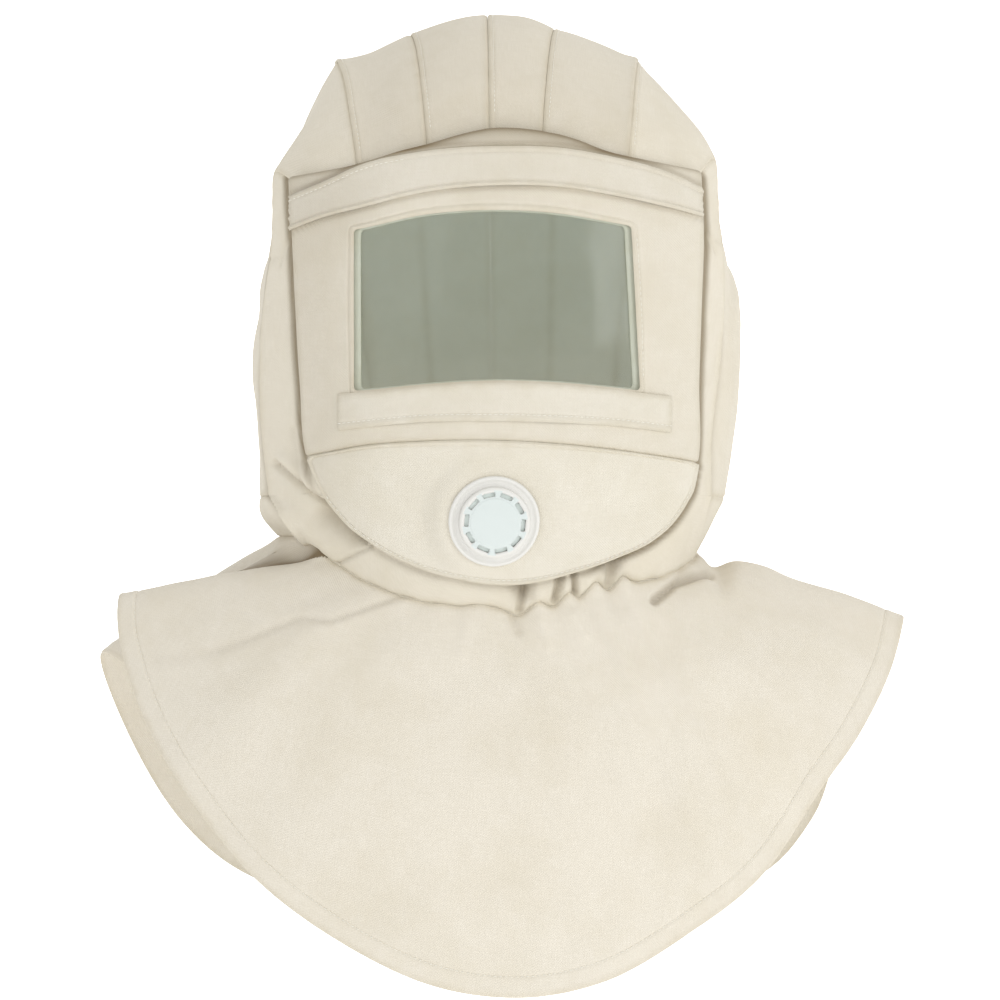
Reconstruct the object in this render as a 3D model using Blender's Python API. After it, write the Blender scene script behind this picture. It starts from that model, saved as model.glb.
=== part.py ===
"""Canvas sandblasting hood with a curved window, a breathing valve and a shoulder cape.

Sizes here are millimetres. Seen from the front, X grows to the right, -Y faces the viewer and Z is up. The
origin is the inside of the crown, where the hood sits on a head.
"""

import math

import bmesh
import bpy
import numpy as np
from mathutils import Matrix, Vector

MM = 0.001

# Cloth and seams
CANVAS = 2.0
FACE_CLOTH = 3.0
FLAP_CLOTH = 2.8
SEAM_GAP = 0.5
LAYER_GAP = 0.4
TUCK_GAP = 0.9
STEEPEST = 0.6  # a wall that slants more than this is made no longer through its thickness
SHARP_DEG = 40.0

# Crown, back and neck
GORE_PUFF = 2.2
PUFF_POWER = 0.6
HEAD_CORE_TOP = -120.0
HEAD_CORE_BOTTOM = -430.0

# Face
FACE_HALF = 140.0
FACE_SAGITTA = 38.0
FACE_EDGE_ROLL = 3.0
FACE_EDGE_POWER = 8

# Window
LENS_THICKNESS = 1.2
LENS_OVERLAP = 9.0
BINDING_THICKNESS = 1.2
BINDING_OVERLAP = 6.0
BINDING_SIDE_SHOW = 4.5
BINDING_TOP_SHOW = 1.0
BINDING_CORNER = 10.0

# Valve
VALVE_X = -2.0
VALVE_Z = -354.0
VALVE_DOWN_DEG = 9.0
VALVE_TURN_DEG = 5.0
VALVE_FLANGE_R = 30.5
VALVE_SEAT_R = 32.5
SEAT_BLEND = 16.0
VALVE_STUB_R = 17.0
VALVE_HOLE_R = 17.6
VALVE_BORE_R = 13.0
VALVE_SLOTS = 10
VALVE_SEGMENTS = 30

# The centre line of the crown and back, from the brow over the top to the neck seam: depth y and height z
CROWN_PROFILE = (
    ("brow", -158.0, -104.0),
    ("brow_rise", -155.0, -92.0),
    ("forehead", -146.0, -70.0),
    ("front_slope", -126.0, -44.0),
    ("front_top", -98.0, -22.0),
    ("crown_front", -55.0, -5.0),
    ("crown", 0.0, 2.0),
    ("crown_back", 52.0, -8.0),
    ("back_top", 98.0, -38.0),
    ("back_slope", 130.0, -84.0),
    ("back_head", 147.0, -140.0),
    ("back", 152.0, -200.0),
    ("back_low", 148.0, -260.0),
    ("nape", 136.0, -310.0),
    ("neck_seam", 124.0, -339.0),
)

# How far the crown stands below that line across the head
CROWN_ARCH = (
    # x, drop
    (-116.0, 34.0),
    (-90.0, 27.0),
    (-63.0, 13.5),
    (-35.0, 5.0),
    (-7.0, 0.5),
    (17.0, 2.5),
    (42.0, 10.0),
    (72.0, 20.0),
    (102.0, 33.0),
)

# Where the five lengthwise crown seams run, x at four places along the crown profile
CROWN_SEAMS = (
    # along, left edge, left, centre, right, right edge
    (0.00, -93.0, -46.0, -5.0, 30.0, 88.0),
    (0.33, -116.0, -63.0, -7.0, 42.0, 101.0),
    (0.60, -114.0, -61.0, -6.0, 43.0, 102.0),
    (1.00, -88.0, -44.0, -3.0, 38.0, 82.0),
)

# The face by height: depth of its centre line, and its left and right edges
FACE_SECTIONS = (
    # z, centre y, left x, right x
    (-84.0, -161.0, -141.0, 137.0),
    (-122.0, -165.0, -141.0, 138.0),
    (-160.0, -166.5, -138.5, 139.5),
    (-210.0, -166.0, -136.0, 138.0),
    (-262.0, -163.0, -133.0, 136.5),
    (-312.0, -157.0, -128.5, 136.5),
    (-355.0, -150.0, -110.0, 125.0),
    (-402.0, -141.0, -60.0, 70.0),
)

# Height of the face's long edges at places across it
FACE_LINES = (
    # x, panel top, flap top, flap bottom, window top, window bottom, sill bottom, panel bottom
    (-145.0, -122.5, -137.0, -160.0, -163.0, -268.5, -297.0, -313.5),
    (-112.0, -119.0, -125.5, -150.0, -161.5, -267.5, -294.0, -307.5),
    (-92.0, -116.0, -117.5, -146.0, -159.5, -267.0, -292.0, -304.0),
    (-50.0, -106.0, -109.5, -137.0, -151.5, -263.5, -288.5, -301.0),
    (0.0, -94.5, -106.5, -132.5, -148.5, -261.0, -288.0, -300.5),
    (45.0, -99.5, -107.5, -133.5, -151.0, -262.5, -289.0, -303.0),
    (75.0, -108.5, -112.0, -137.5, -155.5, -265.0, -290.5, -306.0),
    (110.0, -114.5, -119.5, -143.5, -161.0, -268.5, -294.0, -310.5),
    (145.0, -119.0, -132.5, -150.5, -166.0, -272.0, -298.0, -316.0),
)
WINDOW_LEFT = (-95.5, -95.5)  # x at the top and at the bottom
WINDOW_RIGHT = (89.0, 95.5)
FLAP_X = (-140.5, 139.0)
SILL_X = (-107.0, 117.0)
SILL_DROP = 1.5
WINDOW_TOP_Z = -150.0
WINDOW_BOTTOM_Z = -265.0

# Lower edge of the chin panel
CHIN_EDGE = (
    # x, z
    (-128.5, -313.0),
    (-121.0, -331.0),
    (-106.0, -352.0),
    (-83.0, -370.5),
    (-53.0, -385.5),
    (-22.0, -394.0),
    (0.0, -397.0),
    (22.0, -396.0),
    (50.0, -389.5),
    (81.0, -379.0),
    (111.0, -362.0),
    (128.0, -346.0),
    (136.5, -328.0),
    (137.0, -317.0),
)

# The gussets between the face and the side panels, by height: front edge x, rear edge x and y
GUSSETS = {
    "left": (
        # z, front x, rear x, rear y
        (-118.0, -134.0, -154.5, -88.0),
        (-130.0, -135.0, -155.0, -86.0),
        (-165.0, -135.0, -156.0, -82.0),
        (-200.0, -133.0, -161.0, -76.0),
        (-250.0, -130.0, -163.0, -72.0),
        (-295.0, -125.0, -162.0, -70.0),
        (-337.0, -112.0, -157.0, -70.0),
    ),
    "right": (
        (-112.0, 134.0, 150.5, -88.0),
        (-130.0, 134.5, 151.5, -86.0),
        (-150.0, 135.0, 152.5, -84.0),
        (-165.0, 135.0, 156.0, -82.0),
        (-200.0, 134.5, 157.0, -76.0),
        (-250.0, 133.0, 152.0, -72.0),
        (-295.0, 132.0, 147.0, -70.0),
        (-337.0, 126.0, 147.0, -70.0),
    ),
}
EAR_WAY = 0.15  # how far along a side panel's front edge the ear corner is, where 3 of its 20 rows end

# How far the side panels swell outwards, from the brow down to the neck
SIDE_SWELL = (
    # down, left, right
    (0.0, 0.0, 0.0),
    (0.06, -1.2, 2.6),
    (0.13, 1.2, 4.9),
    (0.2, 7.4, 3.3),
    (0.28, 8.8, -1.0),
    (0.36, 5.5, -2.6),
    (0.45, 5.3, -1.8),
    (0.55, 2.1, 6.5),
    (0.65, -3.8, 12.7),
    (0.75, -5.1, 15.0),
    (0.85, -0.5, 13.2),
    (1.0, 0.0, 0.0),
)

# Sections through the neck band and the cape, going round from the front by the right: the seam where the band
# joins the head, the gathered line where the cape joins the band, the cape's hem, and how far the cape swells
# between the last two
NECK_SECTIONS = (
    # seam x, y, z, gather x, y, z, hem x, y, z, swell
    (2.0, -136.0, -383.0, 2.0, -132.5, -412.0, 2.0, -168.0, -668.0, 15.0),
    (30.0, -134.0, -381.0, 27.0, -131.0, -412.0, 70.0, -165.5, -656.0, 15.0),
    (62.0, -128.0, -373.0, 54.0, -126.0, -405.0, 134.0, -156.0, -623.0, 14.0),
    (94.0, -121.0, -357.0, 80.0, -117.0, -398.0, 182.0, -141.0, -586.0, 13.0),
    (113.0, -117.0, -346.0, 103.0, -103.0, -395.0, 217.0, -120.0, -538.0, 10.0),
    (126.0, -113.0, -337.0, 122.0, -82.0, -390.0, 248.0, -92.0, -500.0, 8.0),
    (147.0, -70.0, -337.0, 136.0, -50.0, -383.0, 274.0, -52.0, -458.0, 7.0),
    (160.0, -25.0, -338.0, 141.0, -12.0, -379.0, 291.0, -8.0, -423.0, 5.5),
    (163.0, 20.0, -338.0, 142.0, 25.0, -376.0, 284.0, 36.0, -462.0, 9.0),
    (152.0, 62.0, -339.0, 132.0, 62.0, -373.0, 262.0, 78.0, -515.0, 10.0),
    (124.0, 90.0, -339.0, 106.0, 90.0, -370.0, 240.0, 106.0, -574.0, 12.0),
    (82.0, 108.0, -339.0, 72.0, 108.0, -368.0, 188.0, 130.0, -622.0, 14.0),
    (38.0, 119.0, -339.0, 35.0, 118.0, -367.0, 95.0, 147.0, -655.0, 16.0),
    (-3.0, 124.0, -339.0, -3.0, 122.0, -366.0, -5.0, 151.0, -662.0, 16.0),
    (-44.0, 119.0, -339.0, -42.0, 118.0, -367.0, -105.0, 146.0, -652.0, 16.0),
    (-88.0, 106.0, -339.0, -82.0, 106.0, -367.0, -186.0, 130.0, -628.0, 14.0),
    (-130.0, 84.0, -339.0, -118.0, 84.0, -367.0, -232.0, 106.0, -583.0, 12.0),
    (-157.0, 50.0, -338.0, -142.0, 50.0, -367.0, -268.0, 74.0, -520.0, 8.0),
    (-168.0, 5.0, -338.0, -152.0, 10.0, -367.0, -289.0, 28.0, -452.0, 0.0),
    (-167.0, -35.0, -338.0, -150.0, -28.0, -367.0, -252.0, -4.0, -462.0, -12.0),
    (-157.0, -70.0, -337.0, -131.0, -72.0, -367.0, -266.0, -34.0, -407.0, -7.0),
    (-112.0, -117.0, -337.0, -112.0, -96.0, -382.0, -261.0, -66.0, -446.0, 4.0),
    (-90.0, -122.0, -350.0, -86.0, -113.0, -397.0, -228.0, -104.0, -513.0, 10.0),
    (-56.0, -131.0, -373.0, -56.0, -125.0, -407.0, -161.0, -145.0, -596.0, 13.0),
    (-24.0, -135.0, -382.0, -27.0, -130.5, -411.0, -72.0, -164.5, -649.0, 15.0),
)
# Places on the loop above, counted in sections
GORES_LEFT_KEY = 15
CROWN_KEYS = {"left": GORES_LEFT_KEY, "right": 11}
GUSSET_KEYS = {"left": (21, 20), "right": (5, 6)}
BAND_BULGE = 4.0

# The side seams of the crown: the gore's left seam, and 0 or 1 for its own left or right edge
CROWN_SIDES = {"left": (0, 0.0), "right": (3, 1.0)}
BROW_TUCK = 6.5  # how far the crown goes down behind the face panel
BROW_BLEND = 0.16
NECK_BLEND = 0.25

# Long soft folds of the cape, out of its surface
CAPE_FOLDS = (
    # place round the neck, width in sections, height
    (2.4, 0.35, 4.0),
    (3.3, 0.3, -3.0),
    (13.0, 0.6, 4.0),
    (22.2, 0.35, 3.0),
)

# The elastic's gathers: strong at the front right, faint elsewhere
RUFFLES_FROM, RUFFLES_TO = 0.2, 5.8
RUFFLE_OUT = 3.2
RUFFLE_UP = 3.0
RUFFLE_FAINT = 0.12
RUFFLES_PER_SECTION = 1.1
RUFFLE_FADE = 7.0
RUFFLE_RAMP = 0.8
FOLD_RAMP = 0.3
BULGE_RAMP = 3.0
SEAM_SLANT = 1.3

# How finely each piece is cut
COLUMNS_PER_SECTION = 3
COLUMNS_PER_RUFFLED_SECTION = 5
BAND_ROWS = 2
CAPE_ROWS = 7
GORE_COLUMNS, GORE_ROWS = 4, 20
SIDE_COLUMNS, SIDE_ROWS = 7, 20
GUSSET_COLUMNS, GUSSET_ROWS = 3, 17
FLAP_COLUMNS, FLAP_ROWS = 26, 3
SILL_COLUMNS, SILL_ROWS = 18, 2
LENS_COLUMNS, LENS_ROWS = 16, 4
CHIN_SPOKES = 40
CHIN_RINGS = (-1.0, 0.0, 0.3, 0.65, 1.0)  # from the hole by the valve's seat (0) to the edge
CAPE_GATHER = 1.2  # rows closer together towards the gathers

# The valve's turned pieces as outlines of radius and height, the height measured out from the chin panel
VALVE_FLANGE = (
    (VALVE_BORE_R, 3.4),
    (24.5, 3.4),
    (25.5, 2.4),
    (27.0, 2.4),
    (28.6, 3.4),
    (30.0, 3.0),
    (VALVE_FLANGE_R, 1.8),
    (VALVE_FLANGE_R, 0.3),
    (VALVE_STUB_R, 0.3),
    (VALVE_STUB_R, -9.0),
    (VALVE_BORE_R, -9.0),
)
VALVE_NUT = (
    (17.3, -3.6),
    (22.0, -3.6),
    (22.0, -7.0),
    (17.3, -7.0),
)
VALVE_MEMBRANE = (
    (0.0, 3.8),
    (20.4, 3.8),
    (20.4, 4.8),
    (0.0, 4.8),
)
VALVE_CAP = (
    (0.0, 8.6),
    (16.0, 8.6),
    (16.6, 8.2),
    (22.2, 8.2),
    (23.5, 7.4),
    (23.8, 3.8),
    (21.6, 3.8),
    (21.4, 6.4),
    (0.0, 6.4),
)
CAP_FRONT = 7.4
SLOT_R, SLOT_WIDTH, SLOT_LENGTH, SLOT_DEPTH = 18.9, 3.4, 8.4, 4.0

# Steps that the curves are read and searched with
NEAR_ALONG = 1e-3
NEAR_ROUND = 0.02
FRAME_ROUNDS = 6
FIRST_Z = -200.0
CHIN_HALVINGS = 40
CHIN_FURTHEST = 200.0

# Colours as linear red, green and blue
CANVAS_COLOUR = (0.74, 0.69, 0.57)
PLASTIC_COLOUR = (0.78, 0.82, 0.78)
MEMBRANE_COLOUR = (0.62, 0.72, 0.68)
CLEAR_COLOUR = (0.80, 0.88, 0.90)
BINDING_COLOUR = (0.51, 0.54, 0.45)


def clear_scene():
    for obj in list(bpy.data.objects):
        bpy.data.objects.remove(obj, do_unlink=True)


def make_material(name, colour, roughness, alpha=1.0):
    material = bpy.data.materials.new(name)
    material.use_nodes = True
    shader = material.node_tree.nodes["Principled BSDF"]
    shader.inputs["Base Color"].default_value = (*colour, 1.0)
    shader.inputs["Roughness"].default_value = roughness
    shader.inputs["Metallic"].default_value = 0.0
    shader.inputs["Alpha"].default_value = alpha
    return material


def smooth_step(value):
    value = np.clip(value, 0.0, 1.0)
    return value * value * (3.0 - 2.0 * value)


def hermite(keys, rows, slopes, at):
    """The smooth curve through rows at keys, with those slopes, read at the places in at."""
    at = np.clip(np.asarray(at, float), keys[0], keys[-1])
    i = np.clip(np.searchsorted(keys, at, side="right") - 1, 0, len(keys) - 2)
    step = keys[i + 1] - keys[i]
    t = (at - keys[i]) / step
    shape = t.shape + (1,) * (rows.ndim - 1)
    t, step = t.reshape(shape), step.reshape(shape)
    return (
        (1 + 2 * t) * (1 - t) ** 2 * rows[i]
        + t * (1 - t) ** 2 * step * slopes[i]
        + t * t * (3 - 2 * t) * rows[i + 1]
        + t * t * (t - 1) * step * slopes[i + 1]
    )


def curve_by(keys, rows):
    """A function that reads the smooth curve through rows at keys."""
    keys, rows = np.array(keys, float), np.array(rows, float)
    slopes = np.gradient(rows, keys, axis=0)
    return lambda at: hermite(keys, rows, slopes, at)


def loop_by(rows):
    """A function that reads the smooth closed curve through rows, by row number."""
    rows = np.array(rows, float)
    slopes = (np.roll(rows, -1, axis=0) - np.roll(rows, 1, axis=0)) / 2
    rows, slopes = np.vstack([rows, rows[:1]]), np.vstack([slopes, slopes[:1]])
    keys = np.arange(len(rows), dtype=float)
    return lambda at: hermite(keys, rows, slopes, np.asarray(at, float) % (len(rows) - 1))


def table_curve(table):
    """A curve read by a table's first column, giving its other columns."""
    ordered = sorted(table)
    return curve_by([row[0] for row in ordered], [row[1:] for row in ordered])


def profile_curve():
    points = np.array([row[1:] for row in CROWN_PROFILE])
    steps = np.linalg.norm(np.diff(points, axis=0), axis=1)
    return curve_by(np.concatenate([[0], np.cumsum(steps)]) / steps.sum(), points)


crown_profile = profile_curve()
crown_seams = table_curve(CROWN_SEAMS)
crown_arch = table_curve(CROWN_ARCH)
face_sections = table_curve(FACE_SECTIONS)
face_lines = table_curve(FACE_LINES)
chin_edge = table_curve(CHIN_EDGE)
gusset_tables = {side: table_curve(rows) for side, rows in GUSSETS.items()}
side_swells = table_curve(SIDE_SWELL)
neck_sections = loop_by(NECK_SECTIONS)
PANEL_TOP, FLAP_TOP, FLAP_BOTTOM, WINDOW_TOP, WINDOW_BOTTOM, SILL_BOTTOM, PANEL_BOTTOM = range(7)


def unit(vectors):
    return vectors / np.maximum(np.linalg.norm(vectors, axis=-1, keepdims=True), 1e-9)


def face_depth(x, z):
    """y of the face's outer surface, bowed round the head, with its edges rolled back."""
    across = np.abs(x) / FACE_HALF
    centre = face_sections(z)[..., 0]
    return centre + FACE_SAGITTA * across**2 + FACE_EDGE_ROLL * across**FACE_EDGE_POWER


def valve_axis():
    down, turn = math.radians(VALVE_DOWN_DEG), math.radians(VALVE_TURN_DEG)
    return np.array([math.sin(turn), -math.cos(turn) * math.cos(down), -math.sin(down)])


def valve_seat():
    """The point where the valve's axis meets the chin panel's outer surface."""
    return np.array([VALVE_X, float(face_depth(VALVE_X, VALVE_Z)), VALVE_Z])


def chin_depth(x, z):
    """y of the chin panel, flattened where the valve's flange sits."""
    seat, axis = valve_seat(), valve_axis()
    plane = seat[1] - (axis[0] * (x - seat[0]) + axis[2] * (z - seat[2])) / axis[1]
    away = np.hypot(x - seat[0], z - seat[2])
    flat = 1 - smooth_step((away - VALVE_SEAT_R) / SEAT_BLEND)
    return face_depth(x, z) * (1 - flat) + plane * flat


def head_inward(points, normals, thickness):
    """From each outer point to its inner one: towards the head's core, and longer where the wall slants."""
    core = np.zeros_like(points)
    core[..., 2] = np.clip(points[..., 2], HEAD_CORE_BOTTOM, HEAD_CORE_TOP)
    inward = unit(core - points)
    square = np.abs((inward * normals).sum(axis=-1, keepdims=True))
    return inward * thickness / np.maximum(square, STEEPEST)


def grid_normals(points, ring=False):
    """A unit normal at each point of a grid, whichever way it faces."""
    if ring:
        wrapped = np.concatenate([points[-2:-1], points, points[1:2]])
        along = (wrapped[2:] - wrapped[:-2]) / 2
    else:
        along = np.gradient(points, axis=0)
    return unit(np.cross(along, np.gradient(points, axis=1)))


def drawn_in(points, columns=True, rows=True):
    """The grid with its border drawn in by half a seam's gap."""
    drawn = points.copy()
    if columns:
        drawn[0] += unit(points[1] - points[0]) * SEAM_GAP / 2
        drawn[-1] += unit(points[-2] - points[-1]) * SEAM_GAP / 2
    if rows:
        drawn[:, 0] += unit(points[:, 1] - points[:, 0]) * SEAM_GAP / 2
        drawn[:, -1] += unit(points[:, -2] - points[:, -1]) * SEAM_GAP / 2
    return drawn


def grid_place(point, columns, rows):
    """The column and row of a point on the flat slab, which spans -1 to 1."""
    return (point.x + 1) / 2 * columns, (point.y + 1) / 2 * rows


def bend_slab(name, outer, inward, material, hole=None, ring=False):
    """A flat slab of cells bent so that its top lies on the outer points, and its underside inward of them."""
    columns, rows = outer.shape[0] - 1, outer.shape[1] - 1
    bm = bmesh.new()
    bmesh.ops.create_grid(bm, x_segments=columns, y_segments=rows, size=1.0)
    if hole:
        cut = [face for face in bm.faces if hole(*grid_place(face.calc_center_median(), columns, rows))]
        bmesh.ops.delete(bm, geom=cut, context="FACES")
    grown = bmesh.ops.extrude_face_region(bm, geom=bm.faces[:], use_keep_orig=True)
    for vert in grown["geom"]:
        if isinstance(vert, bmesh.types.BMVert):
            vert.co.z = -1.0
    if ring:
        ends = [face for face in bm.faces if all(abs(abs(vert.co.x) - 1.0) < 1e-4 for vert in face.verts)]
        bmesh.ops.delete(bm, geom=ends, context="FACES")
    for vert in bm.verts:
        i, j = (round(place) for place in grid_place(vert.co, columns, rows))
        vert.co = Vector((outer[i, j] - inward[i, j] * vert.co.z) * MM)
    bmesh.ops.remove_doubles(bm, verts=bm.verts[:], dist=1e-6)
    return finish_object(name, bm, material)


def finish_object(name, bm, material):
    bmesh.ops.recalc_face_normals(bm, faces=bm.faces[:])
    mesh = bpy.data.meshes.new(name)
    bm.to_mesh(mesh)
    bm.free()
    mesh.materials.append(material)
    mesh.shade_smooth()
    mesh.set_sharp_from_angle(angle=math.radians(SHARP_DEG))
    obj = bpy.data.objects.new(name, mesh)
    bpy.context.scene.collection.objects.link(obj)
    return obj


def place_grid(columns, rows):
    """Places from 0 to 1 down both sides of a grid, as two arrays of its shape."""
    return np.meshgrid(np.linspace(0, 1, columns + 1), np.linspace(0, 1, rows + 1), indexing="ij")


def sewn_between(across, down, left, right, top, bottom):
    """The surface stretched between four edges, each a function of the way along it."""
    s, t = across[..., None], down[..., None]
    corners = (
        (1 - s) * (1 - t) * left(np.zeros_like(down))
        + s * (1 - t) * right(np.zeros_like(down))
        + (1 - s) * t * left(np.ones_like(down))
        + s * t * right(np.ones_like(down))
    )
    return (1 - s) * left(down) + s * right(down) + (1 - t) * top(across) + t * bottom(across) - corners


def behind_face(x, z):
    """Points touching the back of the face and chin panels, but for a gap."""
    x, z = np.broadcast_arrays(x, z)
    return np.stack([x, chin_depth(x, z) + FACE_CLOTH + TUCK_GAP, z], axis=-1)


def brow_tuck(x):
    """Points behind the face panel, a little under its top edge."""
    return behind_face(x, face_lines(x)[..., PANEL_TOP] - BROW_TUCK)


def crown_plain(seam, local, along):
    """The crown before its ends are sewn down, seam being the number of the seam on the left of a gore."""
    lines = crown_seams(along)
    x = lines[..., seam] * (1 - local) + lines[..., seam + 1] * local
    centre = crown_profile(along)
    way = unit(crown_profile(along + NEAR_ALONG) - crown_profile(along - NEAR_ALONG))
    drop = crown_arch(x)[..., 0]
    puff = GORE_PUFF * (np.sin(math.pi * local) * np.sin(math.pi * along)) ** PUFF_POWER
    y = centre[..., 0] + way[..., 1] * (drop - puff)
    z = centre[..., 1] - way[..., 0] * (drop - puff)
    return np.stack([x, y, z], axis=-1)


def crown_points(seam, local, along):
    """The crown, with one end tucked behind the face and the other on the neck seam."""
    local, along = np.clip(local, 0, 1), np.clip(along, 0, 1)
    front = crown_plain(seam, local, np.zeros_like(along))
    back = crown_plain(seam, local, np.ones_like(along))
    neck = neck_sections(GORES_LEFT_KEY - seam - local)[..., :3]
    to_brow = (1 - smooth_step(along / BROW_BLEND))[..., None]
    to_neck = smooth_step((along - 1 + NECK_BLEND) / NECK_BLEND)[..., None]
    plain = crown_plain(seam, local, along)
    return plain + to_brow * (brow_tuck(front[..., 0]) - front) + to_neck * (neck - back)


def gusset_height(side, down):
    """Height down a gusset."""
    rows = GUSSETS[side]
    return rows[0][0] * (1 - down) + rows[-1][0] * down


def gusset_front(side, down):
    front_x = gusset_tables[side](gusset_height(side, down))[..., 0]
    top = face_lines(front_x)[..., PANEL_TOP] - BROW_TUCK
    z = top * (1 - down) + GUSSETS[side][-1][0] * down
    return behind_face(front_x, z)


def strip_outlines():
    """For each side, the curve from the top of a gusset's front edge out to the ear corner and down its rear."""
    curves = {}
    for side, rows in GUSSETS.items():
        rear = np.array([(x, y, z) for z, _, x, y in rows])
        steps = np.linalg.norm(np.diff(rear, axis=0), axis=1)
        way = np.concatenate([[0], np.cumsum(steps)]) / steps.sum()
        keys = np.concatenate([[0], EAR_WAY + (1 - EAR_WAY) * way])
        curves[side] = curve_by(keys, np.concatenate([gusset_front(side, np.zeros(1)), rear]))
    return curves


strip_outline = strip_outlines()


def brow_side(side, across):
    """The edge from the crown's side seam along the back of the face panel to the gusset."""
    zero = np.zeros(1)
    start = crown_points(*CROWN_SIDES[side], zero)[0, 0]
    turn = gusset_front(side, zero)[0, 0]
    return brow_tuck(start * (1 - across) + turn * across)


def neck_seam(first, last, across):
    return neck_sections(first * (1 - across) + last * across)[..., :3]


def gusset_points(side, across, down):
    first, last = GUSSET_KEYS[side]
    return sewn_between(
        across,
        down,
        lambda way: gusset_front(side, way),
        lambda way: strip_outline[side](EAR_WAY + (1 - EAR_WAY) * way),
        lambda way: strip_outline[side](EAR_WAY * way),
        lambda way: neck_seam(first, last, way),
    )


def side_points(side, across, down):
    points = sewn_between(
        across,
        down,
        lambda way: crown_points(*CROWN_SIDES[side], way),
        lambda way: strip_outline[side](way),
        lambda way: brow_side(side, way),
        lambda way: neck_seam(CROWN_KEYS[side], GUSSET_KEYS[side][1], way),
    )
    swell = side_swells(down)[..., 0 if side == "left" else 1]
    points[..., 0] += swell * np.sin(math.pi * across)
    return points


def crown_gore(number, material):
    local, along = place_grid(GORE_COLUMNS, GORE_ROWS)
    outer = drawn_in(crown_points(number - 1, local, along))
    inward = head_inward(outer, grid_normals(outer), CANVAS)
    return bend_slab(f"crown_gore_{number}", outer, inward, material)


def side_panel(side, material):
    outer = drawn_in(side_points(side, *place_grid(SIDE_COLUMNS, SIDE_ROWS)))
    inward = head_inward(outer, grid_normals(outer), CANVAS)
    return bend_slab(f"side_panel_{side}", outer, inward, material)


def gusset(side, material):
    outer = drawn_in(gusset_points(side, *place_grid(GUSSET_COLUMNS, GUSSET_ROWS)))
    inward = head_inward(outer, grid_normals(outer), CANVAS)
    return bend_slab(f"gusset_{side}", outer, inward, material)


def neck_places():
    """Places round the neck, closer together where the elastic gathers the cloth."""
    steps = []
    for section in range(len(NECK_SECTIONS)):
        gathered = RUFFLES_FROM - 1 < section < RUFFLES_TO
        count = COLUMNS_PER_RUFFLED_SECTION if gathered else COLUMNS_PER_SECTION
        steps.extend(section + i / count for i in range(count))
    return np.array(steps + [len(NECK_SECTIONS)])


def ruffle(at):
    """The gathers' wave at places round the neck: strong in front on the right, faint elsewhere."""
    at = at % len(NECK_SECTIONS)
    strong = smooth_step((at - RUFFLES_FROM) / RUFFLE_RAMP) * smooth_step((RUFFLES_TO - at) / RUFFLE_RAMP)
    wave = np.sin(2 * math.pi * RUFFLES_PER_SECTION * at)
    faint = np.sin(2 * math.pi * round(RUFFLES_PER_SECTION * len(NECK_SECTIONS)) / len(NECK_SECTIONS) * at)
    return strong * wave + RUFFLE_FAINT * (1 - strong) * faint


def outward(at):
    """Level unit vectors away from the neck, at places round it."""
    way = unit(neck_sections(at + NEAR_ROUND)[..., 3:5] - neck_sections(at - NEAR_ROUND)[..., 3:5])
    return np.stack([way[..., 1], -way[..., 0], np.zeros_like(way[..., 0])], axis=-1)


def gather_line(at):
    """The seam between the band and the cape, with its gathers."""
    wave = ruffle(at)[..., None]
    up = np.array([0.0, 0.0, RUFFLE_UP])
    return neck_sections(at)[..., 3:6] + outward(at) * wave * RUFFLE_OUT + up * wave


def seam_inward(at):
    """From the gathered seam's outer line to its inner one, shared by the band and the cape."""
    down = np.array([0.0, 0.0, -1.0])
    return unit(down - outward(at)) * CANVAS * SEAM_SLANT


def neck_seam_line(at):
    """The seam between the head and the band, its front laid on the back of the chin panel."""
    seam = neck_sections(at)[..., :3]
    in_front = (at <= GUSSET_KEYS["right"][0]) | (at >= GUSSET_KEYS["left"][0])
    return np.where(in_front[..., None], behind_face(seam[..., 0], seam[..., 2]), seam)


def neck_band(material):
    places, down = np.meshgrid(neck_places(), np.linspace(0, 1, BAND_ROWS + 1), indexing="ij")
    top, bottom = neck_seam_line(places), gather_line(places)
    outer = top * (1 - down[..., None]) + bottom * down[..., None]
    from_front = np.minimum(places, len(NECK_SECTIONS) - places)
    bulge = BAND_BULGE * np.sin(math.pi * down) * smooth_step((from_front - BULGE_RAMP) / BULGE_RAMP)
    outer += outward(places) * bulge[..., None]
    outer = drawn_in(outer, columns=False)
    inward = head_inward(outer, grid_normals(outer, ring=True), CANVAS)
    inward[:, -1] = seam_inward(places[:, -1])
    return bend_slab("neck_band", outer, inward, material, ring=True)


def cape_points(places, down):
    """The cape from its gathered seam (down 0) to its hem (down 1)."""
    sections = neck_sections(places)
    top, hem, swell = gather_line(places), sections[..., 6:9], sections[..., 9]
    way = unit(hem - neck_sections(places)[..., 3:6])
    side = unit(neck_sections(places + NEAR_ROUND)[..., 6:9] - neck_sections(places - NEAR_ROUND)[..., 6:9])
    out = unit(np.cross(side, way))
    out *= np.sign((out * (outward(places) + np.array([0.0, 0.0, 1.0]))).sum(axis=-1, keepdims=True))
    t = down[..., None]
    calm = neck_sections(places)[..., 3:6]
    points = calm * (1 - t) + hem * t + (top - calm) * np.exp(-RUFFLE_FADE * t)
    rise = swell * np.sin(math.pi * down)
    fold = cape_fold(places) * smooth_step(down / FOLD_RAMP)
    return points + out * (rise + fold)[..., None]


def cape_fold(places):
    """The cape's long soft folds, out of its surface."""
    total = np.zeros_like(places)
    count = len(NECK_SECTIONS)
    for at, width, height in CAPE_FOLDS:
        away = (places - at + count / 2) % count - count / 2
        total += height * np.exp(-((away / width) ** 2))
    return total


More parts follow.
